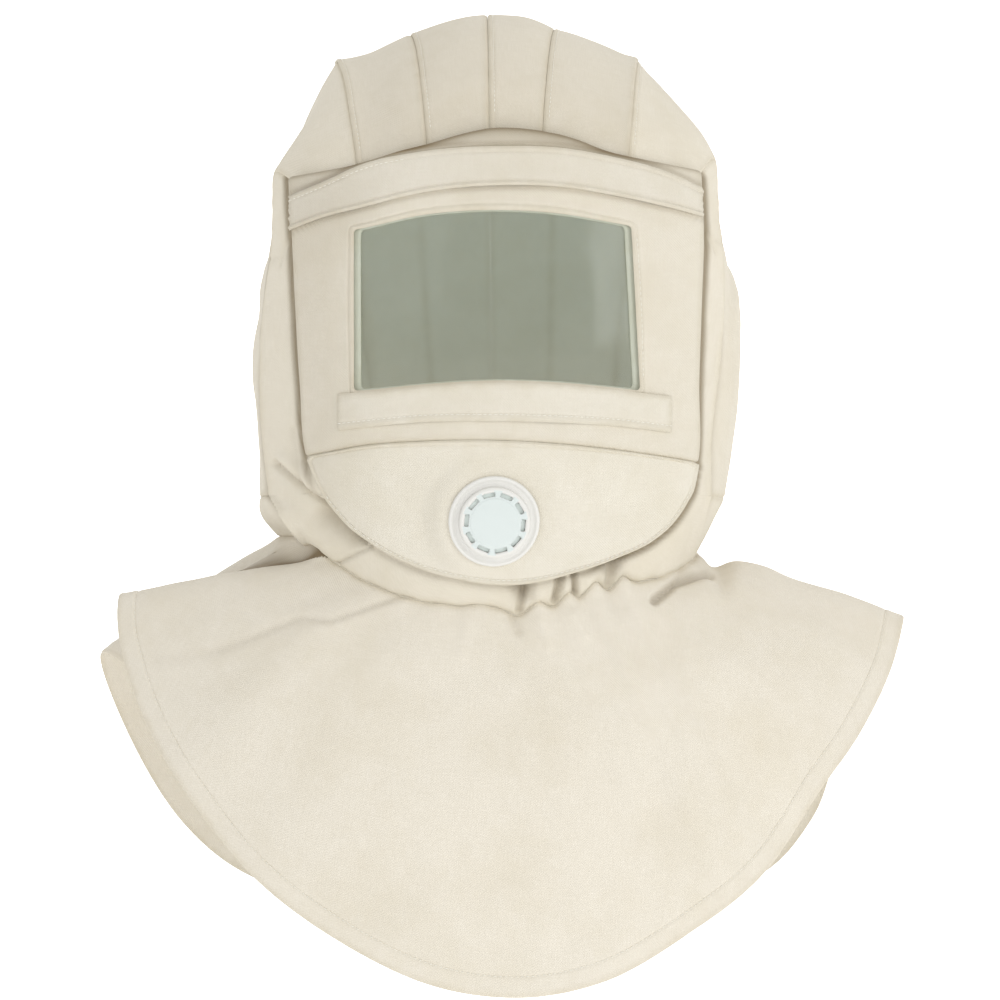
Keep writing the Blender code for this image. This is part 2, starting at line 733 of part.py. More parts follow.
def cape(material):
    down = np.linspace(0, 1, CAPE_ROWS + 1) ** CAPE_GATHER
    places, down = np.meshgrid(neck_places(), down, indexing="ij")
    outer = drawn_in(cape_points(places, down), columns=False)
    normals = grid_normals(outer, ring=True)
    upright = outward(places) + np.array([0.0, 0.0, 1.0])
    normals *= np.sign((normals * upright).sum(axis=-1, keepdims=True))
    inward = -normals * CANVAS
    inward[:, 0] = seam_inward(places[:, 0])
    return bend_slab("cape", outer, inward, material, ring=True)


def between(first, last, count):
    """Places from first up to but not including last."""
    return list(np.linspace(first, last, count, endpoint=False))


def face_grid(column_stops, row_stops):
    """Whole-number stops split into columns and rows, each stop given as how many cells follow it."""
    columns = np.concatenate([between(i, i + 1, n) for i, n in enumerate(column_stops)] + [[len(column_stops)]])
    rows = np.concatenate([between(i, i + 1, n) for i, n in enumerate(row_stops)] + [[len(row_stops)]])
    return np.meshgrid(columns, rows, indexing="ij")


def through(stops, at):
    """The value at a fractional stop number, straight between stops that are arrays of the grid's shape."""
    i = np.minimum(at.astype(int), len(stops) - 2)
    stops = np.stack(stops)
    low = np.take_along_axis(stops, i[None], axis=0)[0]
    high = np.take_along_axis(stops, i[None] + 1, axis=0)[0]
    return low + (high - low) * (at - i)


def window_x(edge, z):
    """x of the window's left or right edge at a height."""
    depth = np.clip((WINDOW_TOP_Z - z) / (WINDOW_TOP_Z - WINDOW_BOTTOM_Z), 0, 1)
    return edge[0] * (1 - depth) + edge[1] * depth


def face_frame(columns, rows, lines, sides):
    """x and z over a grid: columns stop at each of sides, rows at each of the face's lines."""
    x = np.zeros_like(columns)
    z = np.full_like(columns, FIRST_Z)
    for _ in range(FRAME_ROUNDS):
        x = through([side(z) for side in sides], columns)
        z = through([line(x) for line in lines], rows)
    return x, z


def face_line(number, shift=0.0):
    return lambda x: face_lines(x)[..., number] + shift


def face_layer(name, x, z, front, thickness, material, hole=None):
    """A layer of the face whose outer side stands front of the face's surface, towards the viewer."""
    outer = np.stack([x, chin_depth(x, z) - front, z], axis=-1)
    inward = np.broadcast_to(np.array([0.0, thickness, 0.0]), outer.shape)
    return bend_slab(name, outer, inward, material, hole=hole)


def in_middle(columns, rows, i, j):
    """Whether a cell lies between stops 1 and 2 both ways."""
    near = 1e-6
    return all(1 - near <= stop < 2 - near for stop in (columns[int(i), 0], rows[0, int(j)]))


def face_panel(material):
    columns, rows = face_grid((5, 14, 5), (4, 8, 3))
    lines = (face_line(PANEL_TOP), face_line(WINDOW_TOP), face_line(WINDOW_BOTTOM), face_line(PANEL_BOTTOM))
    sides = (
        lambda z: face_sections(z)[..., 1],
        lambda z: window_x(WINDOW_LEFT, z),
        lambda z: window_x(WINDOW_RIGHT, z),
        lambda z: face_sections(z)[..., 2],
    )
    x, z = face_frame(columns, rows, lines, sides)
    hole = lambda i, j: in_middle(columns, rows, i, j)
    return face_layer("face_panel", x, z, 0.0, FACE_CLOTH, material, hole)


def brow_flap(material):
    columns, rows = face_grid((FLAP_COLUMNS,), (FLAP_ROWS,))
    lines = (face_line(FLAP_TOP), face_line(FLAP_BOTTOM))
    x, z = face_frame(columns, rows, lines, (lambda z: FLAP_X[0] + 0 * z, lambda z: FLAP_X[1] + 0 * z))
    return face_layer("brow_flap", x, z, FLAP_CLOTH + LAYER_GAP, FLAP_CLOTH, material)


def sill_strip(material):
    columns, rows = face_grid((SILL_COLUMNS,), (SILL_ROWS,))
    lines = (face_line(WINDOW_BOTTOM, -SILL_DROP), face_line(SILL_BOTTOM))
    x, z = face_frame(columns, rows, lines, (lambda z: SILL_X[0] + 0 * z, lambda z: SILL_X[1] + 0 * z))
    return face_layer("sill_strip", x, z, CANVAS + LAYER_GAP, CANVAS, material)


def window_binding(material):
    """A frame behind the panel that shows inside the opening at the sides."""
    columns, rows = face_grid((2, 14, 2), (2, 8, 2))
    back = BINDING_OVERLAP
    lines = (
        face_line(WINDOW_TOP, back),
        face_line(WINDOW_TOP, -BINDING_TOP_SHOW),
        face_line(WINDOW_BOTTOM, BINDING_TOP_SHOW),
        face_line(WINDOW_BOTTOM, -back),
    )
    sides = (
        lambda z: window_x(WINDOW_LEFT, z) - back,
        lambda z: window_x(WINDOW_LEFT, z) + BINDING_SIDE_SHOW,
        lambda z: window_x(WINDOW_RIGHT, z) - BINDING_SIDE_SHOW,
        lambda z: window_x(WINDOW_RIGHT, z) + back,
    )
    x, z = face_frame(columns, rows, lines, sides)
    hole = lambda i, j: in_middle(columns, rows, i, j)
    return face_layer("window_binding", x, z, -FACE_CLOTH - LAYER_GAP, BINDING_THICKNESS, material, hole)


def lens(material):
    columns, rows = face_grid((LENS_COLUMNS,), (LENS_ROWS,))
    lines = (face_line(WINDOW_TOP, LENS_OVERLAP), face_line(WINDOW_BOTTOM, -LENS_OVERLAP))
    sides = (
        lambda z: window_x(WINDOW_LEFT, z) - LENS_OVERLAP,
        lambda z: window_x(WINDOW_RIGHT, z) + LENS_OVERLAP,
    )
    x, z = face_frame(columns, rows, lines, sides)
    front = -FACE_CLOTH - BINDING_THICKNESS - 2 * LAYER_GAP
    return face_layer("lens", x, z, front, LENS_THICKNESS, material)


def chin_panel(material):
    """The chin panel as a fan of rings from the valve's hole out to its edge."""
    turn, out = np.meshgrid(np.linspace(0, 2 * math.pi, CHIN_SPOKES + 1), CHIN_RINGS, indexing="ij")
    seated = VALVE_HOLE_R + (VALVE_SEAT_R - VALVE_HOLE_R) * np.clip(out + 1, 0, 1)
    radius = seated + (chin_reach(turn) - VALVE_SEAT_R) * np.clip(out, 0, 1)
    x, z = VALVE_X + radius * np.sin(turn), VALVE_Z + radius * np.cos(turn)
    outer = np.stack([x, chin_depth(x, z), z], axis=-1)
    outer[-1] = outer[0]
    inward = np.broadcast_to(np.array([0.0, FACE_CLOTH, 0.0]), outer.shape)
    return bend_slab("chin_panel", outer, inward, material, ring=True)


def chin_reach(turn):
    """How far the chin panel's outline is from the valve's axis, each way round."""
    low, high = np.full_like(turn, VALVE_HOLE_R), np.full_like(turn, CHIN_FURTHEST)
    for _ in range(CHIN_HALVINGS):
        middle = (low + high) / 2
        x, z = VALVE_X + middle * np.sin(turn), VALVE_Z + middle * np.cos(turn)
        top = face_lines(x)[..., PANEL_BOTTOM] - SEAM_GAP
        inside = (z < top) & (z > chin_edge(x)[..., 0]) & (x > CHIN_EDGE[0][0]) & (x < CHIN_EDGE[-1][0])
        low, high = np.where(inside, middle, low), np.where(inside, high, middle)
    return low


def valve_matrix():
    """Turns a shape made round Z so that Z runs out along the valve's axis, from the chin panel's outer side."""
    turn = Vector((0.0, 0.0, 1.0)).rotation_difference(Vector(valve_axis())).to_matrix().to_4x4()
    return Matrix.Translation(Vector(valve_seat() * MM)) @ turn


def spun(name, profile, material, cutters=()):
    """A ring turned from a closed outline of (radius, height), seated on the valve's axis."""
    bm = bmesh.new()
    loop = [bm.verts.new((radius * MM, 0.0, height * MM)) for radius, height in profile]
    edges = [bm.edges.new((loop[i - 1], loop[i])) for i in range(len(loop))]
    bmesh.ops.spin(
        bm,
        geom=loop + edges,
        cent=(0.0, 0.0, 0.0),
        axis=(0.0, 0.0, 1.0),
        angle=2 * math.pi,
        steps=VALVE_SEGMENTS,
        use_merge=True,
    )
    bmesh.ops.remove_doubles(bm, verts=bm.verts[:], dist=1e-6)
    obj = finish_object(name, bm, material)
    for cutter in cutters:
        cut = obj.modifiers.new("cut", "BOOLEAN")
        cut.operation = "DIFFERENCE"
        cut.solver = "EXACT"
        cut.object = cutter
    obj.matrix_world = valve_matrix()
    return obj


def slot_cutter():
    """One mesh of boxes where the valve cap's slots go through."""
    bm = bmesh.new()
    for number in range(VALVE_SLOTS):
        turn = Matrix.Rotation(2 * math.pi * number / VALVE_SLOTS, 4, "Z")
        box = bmesh.ops.create_cube(bm, size=1.0)["verts"]
        bmesh.ops.scale(bm, verts=box, vec=Vector((SLOT_WIDTH, SLOT_LENGTH, SLOT_DEPTH)) * MM)
        bmesh.ops.translate(bm, verts=box, vec=Vector((SLOT_R * MM, 0.0, CAP_FRONT * MM)))
        bmesh.ops.rotate(bm, verts=box, cent=(0.0, 0.0, 0.0), matrix=turn)
    cutter = finish_object("slot_cutter", bm, bpy.data.materials["cap_plastic"])
    cutter.matrix_world = valve_matrix()
    cutter.hide_render = True
    cutter.display_type = "WIRE"
    return cutter


def make_valve():
    plastic = make_material("flange_plastic", PLASTIC_COLOUR, 0.35)
    spun("valve_flange", VALVE_FLANGE, plastic)
    spun("valve_nut", VALVE_NUT, make_material("nut_plastic", PLASTIC_COLOUR, 0.4))
    spun("valve_membrane", VALVE_MEMBRANE, make_material("membrane_rubber", MEMBRANE_COLOUR, 0.5))
    cap_plastic = make_material("cap_plastic", PLASTIC_COLOUR, 0.3)
    spun("valve_cap", VALVE_CAP, cap_plastic, cutters=(slot_cutter(),))


def make_face():
    face_panel(make_material("face_canvas", CANVAS_COLOUR, 0.9))
    brow_flap(make_material("flap_canvas", CANVAS_COLOUR, 0.9))
    sill_strip(make_material("sill_canvas", CANVAS_COLOUR, 0.9))
    chin_panel(make_material("chin_canvas", CANVAS_COLOUR, 0.9))
    window_binding(make_material("binding_tape", BINDING_COLOUR, 0.8))
    lens(make_material("clear_sheet", CLEAR_COLOUR, 0.08, alpha=0.25))


def make_head():
    for number in range(1, len(CROWN_SEAMS[0]) - 1):
        crown_gore(number, make_material(f"gore_{number}_canvas", CANVAS_COLOUR, 0.9))
    for side in ("left", "right"):
        side_panel(side, make_material(f"side_{side}_canvas", CANVAS_COLOUR, 0.9))
        gusset(side, make_material(f"gusset_{side}_canvas", CANVAS_COLOUR, 0.9))
    neck_band(make_material("band_canvas", CANVAS_COLOUR, 0.9))
    cape(make_material("cape_canvas", CANVAS_COLOUR, 0.9))


def main():
    clear_scene()
    make_head()
    make_face()
    make_valve()


main()
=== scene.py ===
"""The canvas sandblasting hood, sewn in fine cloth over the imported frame, with its window, valve and stitching."""

import math

import bmesh
import bpy
import numpy as np
from bpy.props import FloatProperty, FloatVectorProperty, IntProperty, PointerProperty
from bpy.types import Operator, Panel, PropertyGroup
from mathutils import Matrix, Vector, noise


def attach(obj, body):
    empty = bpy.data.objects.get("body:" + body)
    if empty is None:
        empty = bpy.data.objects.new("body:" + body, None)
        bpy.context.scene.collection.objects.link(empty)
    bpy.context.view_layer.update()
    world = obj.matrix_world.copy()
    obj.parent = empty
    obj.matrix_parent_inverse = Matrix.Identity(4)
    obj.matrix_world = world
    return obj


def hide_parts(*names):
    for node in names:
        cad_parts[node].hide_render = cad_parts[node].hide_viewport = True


bl_info = {
    "name": "Sandblasting hood",
    "version": (1, 0, 0),
    "blender": (4, 5, 0),
    "location": "3D View > Sidebar > Hood",
    "description": "Sews a canvas sandblasting hood over its packed frame",
    "category": "Object",
}

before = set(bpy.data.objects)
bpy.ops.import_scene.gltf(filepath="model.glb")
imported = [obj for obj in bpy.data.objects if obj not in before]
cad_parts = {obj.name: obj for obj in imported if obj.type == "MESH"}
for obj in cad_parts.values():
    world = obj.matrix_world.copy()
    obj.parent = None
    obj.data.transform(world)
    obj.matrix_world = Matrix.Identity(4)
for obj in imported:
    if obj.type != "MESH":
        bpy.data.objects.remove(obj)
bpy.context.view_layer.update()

MM = 0.001
ROOT = "root"

# Cloth and seams, in millimetres
SEAM_GAP = 0.12
LAYER_GAP = 0.4
TUCK_GAP = 0.9
FACE_CLOTH = 3.0
FLAP_CLOTH = 2.8
GORE_PUFF = 1.4
PUFF_POWER = 0.8
BROW_TUCK = 6.5
BROW_BLEND = 0.16
NECK_BLEND = 0.25
HEAD_CORE_TOP = -120.0
HEAD_CORE_BOTTOM = -430.0
FACE_HALF = 140.0
FACE_SAGITTA = 38.0
FACE_EDGE_ROLL = 3.0
FACE_EDGE_POWER = 8
SEAM_SLANT = 1.3

# Window
LENS_THICKNESS = 1.2
LENS_OVERLAP = 9.0
BINDING_THICKNESS = 1.2
BINDING_OVERLAP = 6.0
BINDING_SHOW = 4.5
BINDING_TOP_SHOW = 1.0
WINDOW_LEFT = (-95.5, -95.5)  # x at the top and at the bottom
WINDOW_RIGHT = (89.0, 95.5)
WINDOW_TOP_Z = -150.0
WINDOW_BOTTOM_Z = -265.0
FLAP_X = (-140.5, 139.0)
SILL_X = (-107.0, 117.0)
SILL_DROP = 1.5

# Valve
VALVE_X = -2.0
VALVE_Z = -354.0
VALVE_DOWN_DEG = 9.0
VALVE_TURN_DEG = 5.0
VALVE_FLANGE_R = 30.5
VALVE_SEAT_R = 32.5
VALVE_STUB_R = 17.0
VALVE_HOLE_R = 17.6
VALVE_BORE_R = 13.0
VALVE_SLOTS = 10
SLOT_R, SLOT_WIDTH, SLOT_LENGTH, SLOT_DEPTH = 18.9, 2.9, 8.4, 4.0
CAP_FRONT = 7.4

# The centre line of the crown and back, from the brow over the top to the neck seam: depth y and height z
CROWN_PROFILE = (
    ("brow", -158.0, -104.0),
    ("brow_rise", -155.0, -92.0),
    ("forehead", -147.0, -69.0),
    ("front_slope", -127.0, -42.0),
    ("front_top", -98.0, -19.0),
    ("crown_front", -55.0, -2.0),
    ("crown", 0.0, 5.0),
    ("crown_back", 52.0, -5.5),
    ("back_top", 98.5, -36.5),
    ("back_slope", 130.0, -84.0),
    ("back_head", 147.0, -140.0),
    ("back", 152.0, -200.0),
    ("back_low", 148.0, -260.0),
    ("nape", 136.0, -310.0),
    ("neck_seam", 124.0, -339.0),
)

# How far the crown stands below that line across the head
CROWN_ARCH = (
    # x, drop
    (-116.0, 34.0),
    (-90.0, 27.5),
    (-63.0, 14.5),
    (-35.0, 5.0),
    (-7.0, 0.5),
    (17.0, 2.5),
    (42.0, 10.5),
    (72.0, 21.5),
    (102.0, 33.0),
)

# Where the five lengthwise crown seams run, x at four places along the crown profile
CROWN_SEAMS = (
    # along, left edge, left, centre, right, right edge
    (0.00, -93.0, -46.0, -5.0, 30.0, 88.0),
    (0.33, -116.0, -63.0, -7.0, 42.0, 101.0),
    (0.60, -114.0, -61.0, -6.0, 43.0, 102.0),
    (1.00, -88.0, -44.0, -3.0, 38.0, 82.0),
)

# The face by height: depth of its centre line, and its left and right edges
FACE_SECTIONS = (
    # z, centre y, left x, right x
    (-84.0, -161.0, -141.0, 137.0),
    (-122.0, -165.0, -141.0, 138.0),
    (-160.0, -166.5, -138.5, 139.5),
    (-210.0, -166.0, -136.0, 138.0),
    (-262.0, -163.0, -133.0, 136.5),
    (-312.0, -157.0, -128.5, 136.5),
    (-355.0, -150.0, -110.0, 125.0),
    (-402.0, -141.0, -60.0, 70.0),
)

# Height of the face's long edges at places across it
FACE_LINES = (
    # x, panel top, flap top, flap bottom, window top, window bottom, sill bottom, panel bottom
    (-145.0, -122.5, -137.0, -160.0, -163.0, -268.5, -297.0, -313.5),
    (-112.0, -119.0, -125.5, -150.0, -161.5, -267.5, -294.0, -307.5),
    (-92.0, -116.0, -117.5, -146.0, -159.5, -267.0, -292.0, -304.0),
    (-50.0, -106.0, -109.5, -137.0, -151.5, -263.5, -288.5, -301.0),
    (0.0, -94.5, -106.5, -132.5, -148.5, -261.0, -288.0, -300.5),
    (45.0, -99.5, -107.5, -133.5, -151.0, -262.5, -289.0, -303.0),
    (75.0, -108.5, -112.0, -137.5, -155.5, -265.0, -290.5, -306.0),
    (110.0, -114.5, -119.5, -143.5, -161.0, -268.5, -294.0, -310.5),
    (145.0, -119.0, -132.5, -150.5, -166.0, -272.0, -298.0, -316.0),
)
PANEL_TOP, FLAP_TOP, FLAP_BOTTOM, WINDOW_TOP, WINDOW_BOTTOM, SILL_BOTTOM, PANEL_BOTTOM = range(7)

# Lower edge of the chin panel
CHIN_EDGE = (
    # x, z
    (-128.5, -313.0),
    (-121.0, -331.0),
    (-106.0, -352.0),
    (-83.0, -370.5),
    (-53.0, -385.5),
    (-22.0, -394.0),
    (0.0, -397.0),
    (22.0, -396.0),
    (50.0, -389.5),
    (81.0, -379.0),
    (107.5, -366.0),
    (119.0, -356.0),
    (129.5, -341.0),
    (134.5, -330.0),
    (137.0, -317.0),
)

# The gussets between the face and the side panels, by height: front edge x, rear edge x and y
GUSSETS = {
    "left": (
        # z, front x, rear x, rear y
        (-118.0, -134.0, -154.5, -88.0),
        (-130.0, -135.0, -155.0, -86.0),
        (-165.0, -135.0, -156.0, -82.0),
        (-200.0, -133.0, -161.0, -76.0),
        (-250.0, -130.0, -163.0, -72.0),
        (-295.0, -125.0, -162.0, -70.0),
        (-337.0, -112.0, -157.0, -70.0),
    ),
    "right": (
        (-108.0, 134.0, 151.0, -88.0),
        (-130.0, 134.5, 152.5, -86.0),
        (-150.0, 135.0, 153.5, -84.0),
        (-165.0, 135.0, 156.0, -82.0),
        (-200.0, 134.5, 157.0, -76.0),
        (-250.0, 133.0, 152.0, -72.0),
        (-295.0, 132.0, 147.0, -70.0),
        (-337.0, 126.0, 147.0, -70.0),
    ),
}
EAR_WAY = 0.15  # how far along a side panel's front edge the ear corner is

# How far the side panels swell outwards, from the brow down to the neck
SIDE_SWELL = (
    # down, left, right
    (0.0, 0.0, 0.0),
    (0.06, -1.2, 2.6),
    (0.13, 0.8, 4.6),
    (0.2, 5.4, 2.0),
    (0.28, 6.6, -2.5),
    (0.36, 4.6, -5.2),
    (0.45, 5.3, -3.0),
    (0.55, 2.1, 4.6),
    (0.595, -0.8, 8.0),
    (0.615, 2.4, 13.2),
    (0.65, -0.6, 15.6),
    (0.7, -4.0, 16.6),
    (0.75, -5.1, 17.0),
    (0.85, -0.5, 14.0),
    (1.0, 0.0, 0.0),
)

# Sections through the neck band and the cape, going round from the front by the right: the seam where the band
# joins the head, the gathered line where the cape joins the band, the cape's hem, and how far the cape swells
# between the last two
NECK_SECTIONS = (
    # seam x, y, z, gather x, y, z, hem x, y, z, swell
    (2.0, -136.0, -383.0, 2.0, -132.5, -412.0, 2.0, -168.0, -668.0, 15.0),
    (30.0, -134.0, -381.0, 27.0, -131.0, -412.0, 71.0, -165.5, -658.0, 15.0),
    (62.0, -128.0, -373.0, 54.0, -126.0, -405.0, 134.0, -156.0, -623.0, 14.0),
    (94.0, -121.0, -357.0, 80.0, -117.0, -398.0, 182.0, -141.0, -586.0, 13.0),
    (113.0, -117.0, -346.0, 103.0, -103.0, -395.0, 217.5, -120.0, -538.0, 10.0),
    (126.0, -113.0, -337.0, 122.0, -82.0, -390.0, 249.0, -92.0, -500.0, 8.0),
    (147.0, -70.0, -337.0, 136.0, -50.0, -383.0, 275.5, -52.0, -459.0, 7.0),
    (160.0, -25.0, -338.0, 141.0, -12.0, -379.0, 291.0, -8.0, -423.0, 3.5),
    (163.0, 20.0, -338.0, 142.0, 25.0, -376.0, 284.0, 36.0, -462.0, 9.0),
    (152.0, 62.0, -339.0, 132.0, 62.0, -373.0, 258.0, 78.0, -515.0, 10.0),
    (124.0, 90.0, -339.0, 106.0, 90.0, -370.0, 238.0, 106.0, -580.0, 12.0),
    (82.0, 108.0, -339.0, 72.0, 108.0, -368.0, 193.0, 130.0, -630.0, 14.0),
    (38.0, 119.0, -339.0, 35.0, 118.0, -367.0, 95.0, 147.0, -655.0, 16.0),
    (-3.0, 124.0, -339.0, -3.0, 122.0, -366.0, -5.0, 151.0, -662.0, 16.0),
    (-44.0, 119.0, -339.0, -42.0, 118.0, -367.0, -105.0, 146.0, -652.0, 16.0),
    (-88.0, 106.0, -339.0, -82.0, 106.0, -367.0, -186.0, 130.0, -628.0, 14.0),
    (-130.0, 84.0, -339.0, -118.0, 84.0, -367.0, -236.0, 106.0, -585.0, 12.0),
    (-157.0, 50.0, -338.0, -142.0, 50.0, -367.0, -271.0, 74.0, -521.0, 8.0),
    (-168.0, 5.0, -338.0, -155.0, 10.0, -366.0, -289.0, 28.0, -452.0, 3.0),
    (-167.0, -35.0, -338.0, -153.0, -28.0, -366.0, -252.0, -4.0, -462.0, -9.0),
    (-157.0, -70.0, -337.0, -131.0, -72.0, -367.0, -266.0, -34.0, -407.0, 0.0),
    (-112.0, -117.0, -337.0, -112.0, -96.0, -382.0, -261.0, -66.0, -446.0, 4.0),
    (-90.0, -122.0, -350.0, -86.0, -113.0, -397.0, -228.0, -104.0, -513.0, 10.0),
    (-56.0, -131.0, -373.0, -56.0, -125.0, -407.0, -160.0, -145.0, -594.0, 13.0),
    (-24.0, -135.0, -382.0, -27.0, -130.5, -411.0, -71.5, -164.5, -649.5, 15.0),
)
SECTIONS = len(NECK_SECTIONS)
GORES_LEFT_KEY = 15
CROWN_KEYS = {"left": GORES_LEFT_KEY, "right": 11}
GUSSET_KEYS = {"left": (21, 20), "right": (5, 6)}
CROWN_SIDES = {"left": (0, 0.0), "right": (3, 1.0)}  # the gore's number from 0, and 0 or 1 for its left or right edge
BAND_BULGE = 1.5

# The elastic's gathers at the front right: how far they draw the seam up, round from the front
RUFFLES = (
    # place, up
    (-1.0, 0.0),
    (-0.25, 1.0),
    (0.49, -4.4),
    (1.08, 3.0),
    (1.4, -1.4),
    (1.8, 3.9),
    (2.03, -0.4),
    (2.42, 6.2),
    (2.84, -1.2),
    (3.15, 5.4),
    (3.46, 1.8),
    (4.1, 0.2),
    (5.0, 0.0),
)
RUFFLE_OUT = 0.5
RUFFLE_FAINT, RUFFLE_COUNT = 0.35, 32  # the weak gathers round the rest of the neck
RUFFLE_FADE = 22.0
FOLD_RAMP = 0.3
BULGE_RAMP = 3.0

# Long soft folds of the cape, out of its surface
CAPE_FOLDS = (
    # place round the neck, width in sections, height
    (2.4, 0.35, 4.0),
    (3.3, 0.3, -3.0),
    (13.0, 0.6, 4.0),
    (22.2, 0.35, 3.0),
)

# Where the front of the cape folds over the left shoulder: place, width in sections, how far it hangs there, and the
# share of the way to the hem where it starts to hang
SHOULDER_FOLD = (20.0, 0.6, 15.5, 0.02)

# Creases pressed into the cloth, as seen from the front: from x, z to x, z, how wide, and how far out
CAPE_CREASES = (
    # x, z, end x, end z, width, height
    (-55.0, -401.0, -113.0, -422.0, 2.2, -1.5),
    (-113.0, -422.0, -134.0, -420.0, 2.2, -1.6),
    (-134.0, -420.0, -152.0, -427.0, 2.2, -1.6),
    (-152.0, -427.0, -173.0, -436.0, 2.2, -1.4),
    (-173.0, -436.0, -197.0, -444.0, 2.8, -1.1),
    (-197.0, -444.0, -240.0, -451.0, 4.0, -0.5),
    (-60.0, -408.0, -135.0, -430.0, 6.0, 0.9),
    (-135.0, -430.0, -190.0, -450.0, 7.0, 0.8),
    (-70.0, -400.0, -150.0, -421.0, 5.0, 0.7),
    (113.0, -415.0, 110.0, -560.0, 15.0, -1.8),
    (28.0, -418.0, 36.0, -440.0, 3.0, 1.3),
    (50.0, -414.0, 61.0, -434.0, 3.0, 1.2),
    (9.0, -416.0, 15.0, -430.0, 3.0, -1.8),
    (70.0, -408.0, 84.0, -426.0, 4.0, 1.0),
    (-20.0, -418.0, -24.0, -446.0, 4.0, 0.8),
    (158.0, -366.0, 155.0, -402.0, 8.0, -6.5),
    (194.0, -376.0, 186.0, -404.0, 16.0, 3.6),
    (152.0, -389.0, 124.0, -395.0, 3.6, -6.0),
    (124.0, -395.0, 106.0, -408.0, 2.8, -5.5),
    (178.0, -389.0, 130.0, -409.0, 12.0, 2.6),
)
BAND_CREASES = (
    (-155.0, -314.0, -114.0, -345.0, 1.8, -3.2),
    (-114.0, -345.0, -88.0, -369.0, 2.2, -3.2),
    (-150.0, -309.0, -110.0, -339.0, 4.5, 2.4),
    (-119.0, -346.0, -92.0, -367.0, 6.5, -6.5),
    (-144.0, -345.0, -110.0, -375.0, 6.0, 2.4),
    (-110.0, -384.0, -84.0, -371.0, 1.3, -2.0),
    (15.5, -391.0, 16.0, -406.0, 6.5, -5.0),
    (18.0, -398.0, 14.5, -416.0, 2.2, -4.0),
    (43.0, -389.0, 38.5, -409.0, 2.2, -5.0),
    (52.0, -385.0, 53.0, -404.0, 2.0, -5.5),
    (77.0, -374.0, 76.0, -389.0, 7.5, -5.5),
    (82.0, -378.0, 75.0, -399.0, 2.8, -4.0),
    (47.5, -388.0, 46.0, -404.0, 2.2, 1.6),
    (60.0, -386.0, 61.0, -398.0, 4.0, 1.6),
    (28.0, -392.0, 28.0, -409.0, 5.0, 1.6),
)
GUSSET_CREASES = (
    (-158.0, -174.5, -149.5, -174.5, 1.3, -1.2),
    (-142.0, -162.0, -149.0, -181.0, 1.3, -1.2),
    (149.0, -163.0, 157.0, -163.0, 1.3, -1.2),
    (142.0, -157.0, 150.0, -172.0, 1.3, -1.2),
    (-140.0, -290.0, -134.0, -330.0, 2.6, -1.6),
)

# Fine relief of seams and cloth
CANVAS = 2.0
SEAM_GROOVE = 0.9
SEAM_REACH = 1.0
LAP_RISE = 0.35
ROW_VALLEY = 0.6
ROW_WIDTH = 0.9
WRINKLES = ((70.0, 1.5), (24.0, 0.6))  # size, height
WRINKLE_FADE = 16.0
PUCKER, PUCKER_SIZE, PUCKER_REACH = 0.45, 6.0, 8.0
STITCH_LIFT = 0.2
STITCH_BATCH = 40  # stitches made together, which keeps long rows quick
TOPSTITCH = 3.5
HEM = 14.0
CAPE_RADIUS = 240.0  # of the gathered edge on the flat cloth that the cape is cut from
WINDOW_STITCH = 4.0
SILL_STITCH = 4.5
PANEL_ROLL = 3.0
SHARP_DEG = 40.0
STEEPEST = 0.6
SEAT_BLEND = 16.0
CREASE_REACH = (5.6, 9.0)  # how many sections from the front the cape's creases reach, on the left and on the right
HIDDEN = 60.0  # how far away a seam counts as being where it does not show
LIP_PLACE, LIP_WIDTH = 1.5, 1.3
OUTER_LAP, OUTER_LAP_REACH = 2.0, 7.0  # how far the outer gores stand over the side panels
BESIDE_FACE, BESIDE_PLACE, BESIDE_WIDTH = 4.5, 1.8, 2.6  # the groove round the face and chin panels
# Painted shade in that groove: how dark, where it lies, how much further out it lies for each millimetre of x, and how
# wide
BESIDE_PAINTED_SHADE, PAINTED_SHADE_PLACE, PAINTED_SHADE_SPREAD, PAINTED_SHADE_WIDTH = 0.8, 0.8, 0.022, 1.5
GUSSET_LIP, GUSSET_LIP_WIDTH, SIDE_TUCK = 2.4, 5.0, 1.6  # how the gussets' rear edges stand over the side panels
# Painted shade on the side panels just behind the gussets' rear edges, which stand over them
SIDE_PAINTED_SHADE = {"left": (0.45, 8.0), "right": (0.3, 10.0)}  # how dark, and how far from the gusset
# The line of the fold at the left shoulder: its place round the neck at the hem, how far it turns at the seam, and
# over what share of the cape
SHOULDER_LINE = (-5.0, 0.8, 0.07)
SHOULDER_LIP, SHOULDER_LIP_WIDTH = 0.7, 0.3
# Painted shadow that the front fold casts on the back of the cape: a dark line at the fold and a wider shade behind it
SHOULDER_DARK, SHOULDER_DARK_WIDTH = 0.75, 0.5
SHOULDER_SHADE, SHOULDER_SHADE_WIDTH, SHOULDER_SHADE_DOWN = 0.5, 0.9, 0.7
RIDGE_RISE, RIDGE_RAMP, RIDGE_FADE, RIGHT_RIDGE_FADE = 2.6, 0.4, 16.0, 0.2  # the ridge across the band
RIDGE_TURN = 8.0
LEFT_BULGE, LEFT_BULGE_PLACE, LEFT_BULGE_WIDTH = 7.0, 19.5, 0.8
LAID_RAMP = 0.5  # sections over which the seam comes away from the back of the chin panel
CAPE_TUCK_UP, CAPE_TUCK_IN = 3.5, 2.8  # how the cape's edge goes up inside the band at the shoulders and back
# Painted shade in the valleys of creases, standing in for their shadow
CREASE_PAINTED_SHADE = 0.066  # how much a crease darkens the cloth for each millimetre of its depth
PAINTED_SHADE_FOLD_WIDTH, MOST_PAINTED_SHADE = 7.8, 0.5  # wider folds are not darkened
# Painted shade on the gores near the brow, where they tuck behind the face panel
BROW_PAINTED_SHADE, BROW_PAINTED_SHADE_REACH = 0.2, 0.11
